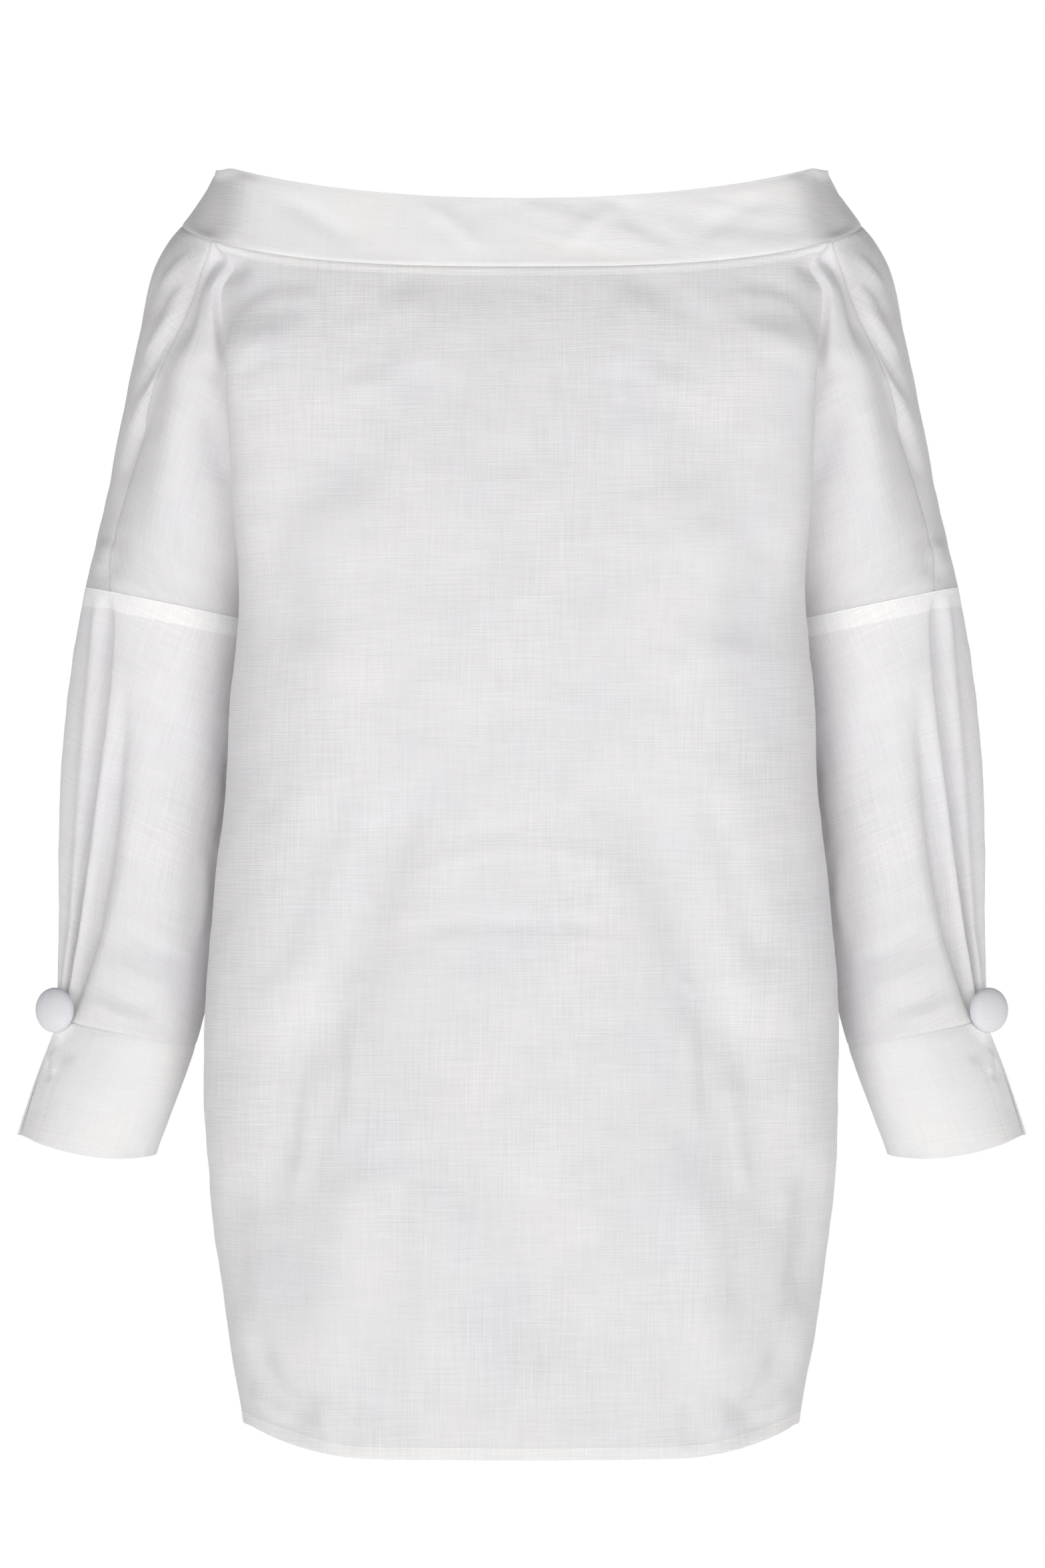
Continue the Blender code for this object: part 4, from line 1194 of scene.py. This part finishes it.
class Nodes:
    """Short calls that add linked nodes to a tree."""

    def __init__(self, tree):
        self.tree = tree

    def fill(self, node, inputs):
        """Give inputs of a node constants or other nodes' outputs."""
        for key, value in inputs.items():
            socket = node.inputs[key]
            if isinstance(value, bpy.types.NodeSocket):
                self.tree.links.new(value, socket)
            else:
                socket.default_value = value
        return node

    def node(self, kind, inputs, **settings):
        node = self.tree.nodes.new("ShaderNode" + kind)
        for key, value in settings.items():
            setattr(node, key, value)
        return self.fill(node, inputs)

    def maths(self, operation, *values):
        return self.node("Math", dict(enumerate(values)), operation=operation).outputs[0]

    def noise(self, place, scale, detail=2.0):
        """Return noise of a stretched place, from about 0 to 1."""
        stretched = self.node("VectorMath", {0: place, 1: scale}, operation="MULTIPLY")
        inputs = {"Vector": stretched.outputs[0], "Scale": 1.0, "Detail": detail, "Roughness": 0.5}
        return self.node("TexNoise", inputs).outputs["Fac"]

    def threads(self, place, stretch):
        """Return noise of a sheared and stretched place: threads that start at uneven places."""
        across, along = self.node("SeparateXYZ", {0: place}).outputs[:2]
        mixed = [self.maths("ADD", self.maths("MULTIPLY", across, from_across),
                            self.maths("MULTIPLY", along, from_along))
                 for from_across, from_along in zip(*stretch)]
        sheared = self.node("CombineXYZ", dict(enumerate(mixed))).outputs[0]
        return self.noise(sheared, (1.0, 1.0, 1.0), detail=1.0)

    def between(self, value, low, high, to_low=0.0, to_high=1.0):
        """Return a value, moved from one range to another and kept inside it."""
        ranges = {"Value": value, "From Min": low, "From Max": high, "To Min": to_low,
                  "To Max": to_high}
        return self.node("MapRange", ranges).outputs[0]

    def scaled(self, vector, scale):
        inputs = {0: vector, "Scale": scale}
        return self.node("VectorMath", inputs, operation="SCALE").outputs[0]

    def attribute(self, name):
        return self.node("Attribute", {}, attribute_name=name).outputs["Fac"]

    def blend(self, share, a, b):
        inputs = {"Factor": share, "A": a, "B": b}
        return self.node("Mix", inputs, data_type="RGBA").outputs["Result"]


def new_material(name):
    """Return a new material, the nodes of its tree and its surface."""
    material = bpy.data.materials.new(name)
    material.use_nodes = True
    nodes = Nodes(material.node_tree)
    return material, nodes, nodes.tree.nodes["Principled BSDF"]


# Colours, linear, and how strong the weave shows
SINGLE_COLOUR = (0.772, 0.768, 0.774, 1.0)
DOUBLE_COLOUR = (0.87, 0.87, 0.865, 1.0)
STRIP_COLOUR = (0.85, 0.85, 0.845, 1.0)
BUTTON_COLOUR = (0.745, 0.745, 0.775, 1.0)
THREAD_COLOUR = (0.86, 0.87, 0.89, 1.0)
LILAC = (0.99, 0.985, 1.0, 1.0)
CREAM = (1.0, 0.995, 0.985, 1.0)
FLOOR_COLOUR = (0.88, 0.88, 0.88, 1.0)
DOUBLE_THREAD = 0.7
BUTTON_THREAD = 0.8
THREAD_CONTRAST = 0.19
SLUB_CONTRAST = 0.08
SLUB_RELIEF = 0.6
BUMP_STRENGTH = 0.45
BUMP_DEPTH = 0.0005
STRIP_EDGE = 0.25

# How noise is stretched into threads, a metre: by the place across the cut and along it
WEAVE = {
    "weft": ((30.0, 0.0), (600.0, 1400.0)),
    "warp": ((1400.0, 520.0), (0.0, 27.0)),
    "slub_weft": ((38.0, 0.0), (380.0, 1040.0)),
    "slub_warp": ((1040.0, 430.0), (0.0, 34.0)),
}
CLOUD_SCALE = (17.0, 13.0, 1.0)
PATCH_SCALE = (9.0, 7.0, 1.0)
MOTTLE_SCALE = (700.0, 700.0, 700.0)
# Ranges of noise, and what they are turned into where that isn't 0 to 1
SLUB_WEFT_RANGE = (0.66, 0.80)
SLUB_WARP_RANGE = (0.67, 0.81)
PATCH_RANGE = (0.35, 0.65, 0.55, 1.3)
CLOUD_RANGE = (0.3, 0.7, 0.985, 1.015)
HUE_RANGE = (0.35, 0.65)
MOTTLE_RANGE = (0.3, 0.7, 0.97, 1.03)


def linen(name, single, double, thread=1.0):
    """Return woven linen: uneven threads both ways, a few slubs, brighter where it is double."""
    material, cloth, surface = new_material(name)
    grain = cloth.node("UVMap", {}, uv_map="grain").outputs[0]
    weft = cloth.threads(grain, WEAVE["weft"])
    warp = cloth.threads(grain, WEAVE["warp"])
    slub_weft = cloth.between(cloth.threads(grain, WEAVE["slub_weft"]), *SLUB_WEFT_RANGE)
    slub_warp = cloth.between(cloth.threads(grain, WEAVE["slub_warp"]), *SLUB_WARP_RANGE)
    cloud = cloth.noise(grain, CLOUD_SCALE, detail=3.0)
    patchy = cloth.between(cloth.noise(grain, PATCH_SCALE), *PATCH_RANGE)
    threads = cloth.maths("SUBTRACT", cloth.maths("ADD", weft, warp), 1.0)
    slubs = cloth.maths("ADD", slub_weft, slub_warp)
    uneven = cloth.maths("ADD", cloth.maths("MULTIPLY", threads, THREAD_CONTRAST * thread),
                         cloth.maths("MULTIPLY", slubs, SLUB_CONTRAST * thread))
    shade = cloth.maths("ADD", cloth.maths("MULTIPLY", uneven, patchy), 1.0)
    shade = cloth.maths("ADD", shade, cloth.attribute("tone"))
    shade = cloth.maths("MULTIPLY", shade, cloth.between(cloud, *CLOUD_RANGE))
    cool = cloth.blend(cloth.between(cloud, *HUE_RANGE), LILAC, CREAM)
    doubled = cloth.between(cloth.attribute("strip"), -STRIP_EDGE, STRIP_EDGE)
    base = cloth.blend(doubled, single, double)
    mixed = cloth.node("VectorMath", {0: base, 1: cool}, operation="MULTIPLY").outputs[0]
    raised = cloth.maths("ADD", threads, cloth.maths("MULTIPLY", slubs, SLUB_RELIEF))
    relief = {"Strength": BUMP_STRENGTH * thread, "Distance": BUMP_DEPTH, "Height": raised}
    cloth.fill(surface, {
        "Base Color": cloth.scaled(mixed, shade),
        "Roughness": 0.92,
        "Specular IOR Level": 0.2,
        "Sheen Weight": 0.1,
        "Sheen Roughness": 0.6,
        "Normal": cloth.node("Bump", relief).outputs[0],
    })
    return material


def plain(name, colour, roughness, glow=0.0):
    """Return an even, slightly mottled finish."""
    material, finish, surface = new_material(name)
    place = finish.node("TexCoord", {}).outputs["Object"]
    mottle = finish.between(finish.noise(place, MOTTLE_SCALE), *MOTTLE_RANGE)
    finish.fill(surface, {
        "Base Color": finish.scaled(colour[:3], mottle),
        "Roughness": roughness,
        "Emission Color": colour,
        "Emission Strength": glow,
    })
    return material


DROP_STITCH = 1.8
CUFF_STITCH = 1.6

# Where the random numbers of each piece's crumpling start
BAND_SEED, FRONT_SEED, BACK_SEED, SLEEVE_SEED, CUFF_SEED = 11, 21, 31, 43, 53
ARM_SEED_STEP = 7


def build_body(name, is_front, seed, single, thread):
    """Build the front or back with its upper arms, its neck stitches and its hem."""
    forward = -SEAM_GAP if is_front else SEAM_GAP
    body = moved(body_patch(is_front, seed), 0, forward, -SEAM_GAP)
    left = moved(arm_patch(is_front, seed + ARM_SEED_STEP), 0, forward, -SEAM_GAP)
    right = left.mirrored()
    cloth = shell(name + "_cloth", [body, left, right], SINGLE, single)
    dress(cloth, "linen", name)
    at_neck = [part.line(part.down, BAND_ALLOWANCE, True) for part in (left, body, right)]
    neck_line = joined(backwards(at_neck[0]), at_neck[1], at_neck[2])
    hem_line = body.line(body.to_foot(), HEM_TURN, True)
    dress(stitches(name + "_stitches", [neck_line, hem_line], thread), "linen")


def build_arm(side, sleeve, cuff, materials):
    """Build one sleeve with its cuff, stitches and button."""
    single, double, covering, thread = materials
    cloth = shell("sleeve_" + side + "_cloth", [sleeve], SINGLE, single)
    dress(cloth, "linen", "sleeve_" + side)
    cloth = shell("cuff_" + side + "_cloth", [cuff], DOUBLE, double)
    dress(cloth, "linen_double", "cuff_" + side)
    drop = sleeve.line(sleeve.down, DROP_STITCH, True)
    lines = [
        joined(drop, (drop[0][:1], drop[1][:1])),
        cuff.line(cuff.down, CUFF_STITCH, True),
        cuff.line(cuff.across, CUFF_FACING, False),
    ]
    dress(stitches("sleeve_" + side + "_stitches", lines, thread), "linen")
    button = make_button("button_" + side + "_cover", -1 if side == "left" else 1, covering)
    dress(button, "linen_button", "button_" + side)


def moved(patch, across, forward, up):
    patch.points = patch.points + points(across, forward, up)
    return patch


def build_blouse():
    """Build every piece of cloth, its stitches and the buttons."""
    single = linen("linen_cloth", SINGLE_COLOUR, STRIP_COLOUR)
    double = linen("linen_double_cloth", DOUBLE_COLOUR, DOUBLE_COLOUR, DOUBLE_THREAD)
    covering = linen("linen_button_cloth", BUTTON_COLOUR, BUTTON_COLOUR, BUTTON_THREAD)
    thread = plain("linen_thread", THREAD_COLOUR, 0.8)
    band = shell("neckband_cloth", [band_patch(BAND_SEED)], DOUBLE, double)
    dress(band, "linen_double", "neckband")
    build_body("front", True, FRONT_SEED, single, thread)
    build_body("back", False, BACK_SEED, single, thread)
    sleeve = moved(sleeve_patch(SLEEVE_SEED), 0, 0, -2 * SEAM_GAP)
    cuff = moved(cuff_patch(CUFF_SEED), 0, 0, -3 * SEAM_GAP)
    materials = (single, double, covering, thread)
    build_arm("left", sleeve, cuff, materials)
    build_arm("right", sleeve.mirrored(), cuff.mirrored(), materials)


def area_light(name, place, size, power):
    """Add a square soft light that faces the blouse."""
    light = bpy.data.lights.new(name, "AREA")
    light.size = size
    light.energy = power
    lamp = add_object(name, light)
    lamp.location = place
    way = Vector(AIM) - Vector(place)
    lamp.rotation_euler = way.to_track_quat("-Z", "Y").to_euler()


# Studio: the sky's strength falls from its foot to its top over a range of height
CAMERA_PLACE = (0.0004, -4.0, -0.3426)
CAMERA_LENS = 152.99
SENSOR = 36.0
AIM = (0.0, 0.0, -0.35)
SKY_TOP = 0.04
SKY_FOOT = 0.95
SKY_RANGE = (0.0, 0.5)
FLOOR_Z = -1.4
FLOOR_RADIUS = 3.0
FLOOR_GLOW = 0.5
FLOOR_SIDES = 96
WHITE = (1.0, 1.0, 1.0, 1.0)
SKY_COLOUR = (1.0, 0.98, 0.985, 1.0)
LIGHTS = [
    # name, place, size, power
    ("front_light", (0.0, -3.4, 0.35), 2.4, 18.0),
    ("back_light", (0.4, 3.4, 0.7), 2.4, 56.0),
    ("right_light", (1.5, -3.0, -0.9), 1.6, 22.0),
    ("left_light", (-1.5, -3.0, -0.9), 1.6, 22.0),
]


def light_scene():
    """Set up a white studio: a soft sky, brighter low down, and a light on each side."""
    world = bpy.data.worlds.new("studio")
    bpy.context.scene.world = world
    world.use_nodes = True
    sky = Nodes(world.node_tree)
    sky.tree.nodes.clear()
    place = sky.node("TexCoord", {}).outputs["Generated"]
    height = sky.node("SeparateXYZ", {0: place}).outputs[2]
    strength = sky.between(height, *SKY_RANGE, SKY_FOOT, SKY_TOP)
    seen = sky.node("Background", {"Color": WHITE}).outputs[0]
    soft = sky.node("Background", {"Color": SKY_COLOUR, "Strength": strength}).outputs[0]
    is_seen = sky.node("LightPath", {}).outputs["Is Camera Ray"]
    blend = sky.node("MixShader", {0: is_seen, 1: soft, 2: seen}).outputs[0]
    sky.node("OutputWorld", {0: blend})
    for light in LIGHTS:
        area_light(*light)
    settings = bpy.context.scene.view_settings
    settings.view_transform = "Standard"
    settings.look = "None"


def add_floor():
    """Add a pale round floor well below the blouse."""
    mesh = bpy.data.meshes.new("floor")
    turns = np.linspace(0, 2 * math.pi, FLOOR_SIDES, endpoint=False)
    rim = points(FLOOR_RADIUS * np.cos(turns), FLOOR_RADIUS * np.sin(turns), FLOOR_Z)
    mesh.from_pydata(rim.tolist(), [], [tuple(range(FLOOR_SIDES))])
    mesh.materials.append(plain("pale_floor", FLOOR_COLOUR, 0.9, FLOOR_GLOW))
    add_object("floor", mesh)


def add_camera():
    camera = bpy.data.cameras.new("camera")
    camera.sensor_fit = "VERTICAL"
    camera.sensor_height = SENSOR
    camera.lens = CAMERA_LENS
    view = add_object("camera", camera)
    view.location = CAMERA_PLACE
    view.rotation_euler = (math.pi / 2, 0, 0)
    bpy.context.scene.camera = view


build_blouse()
light_scene()
add_floor()
add_camera()
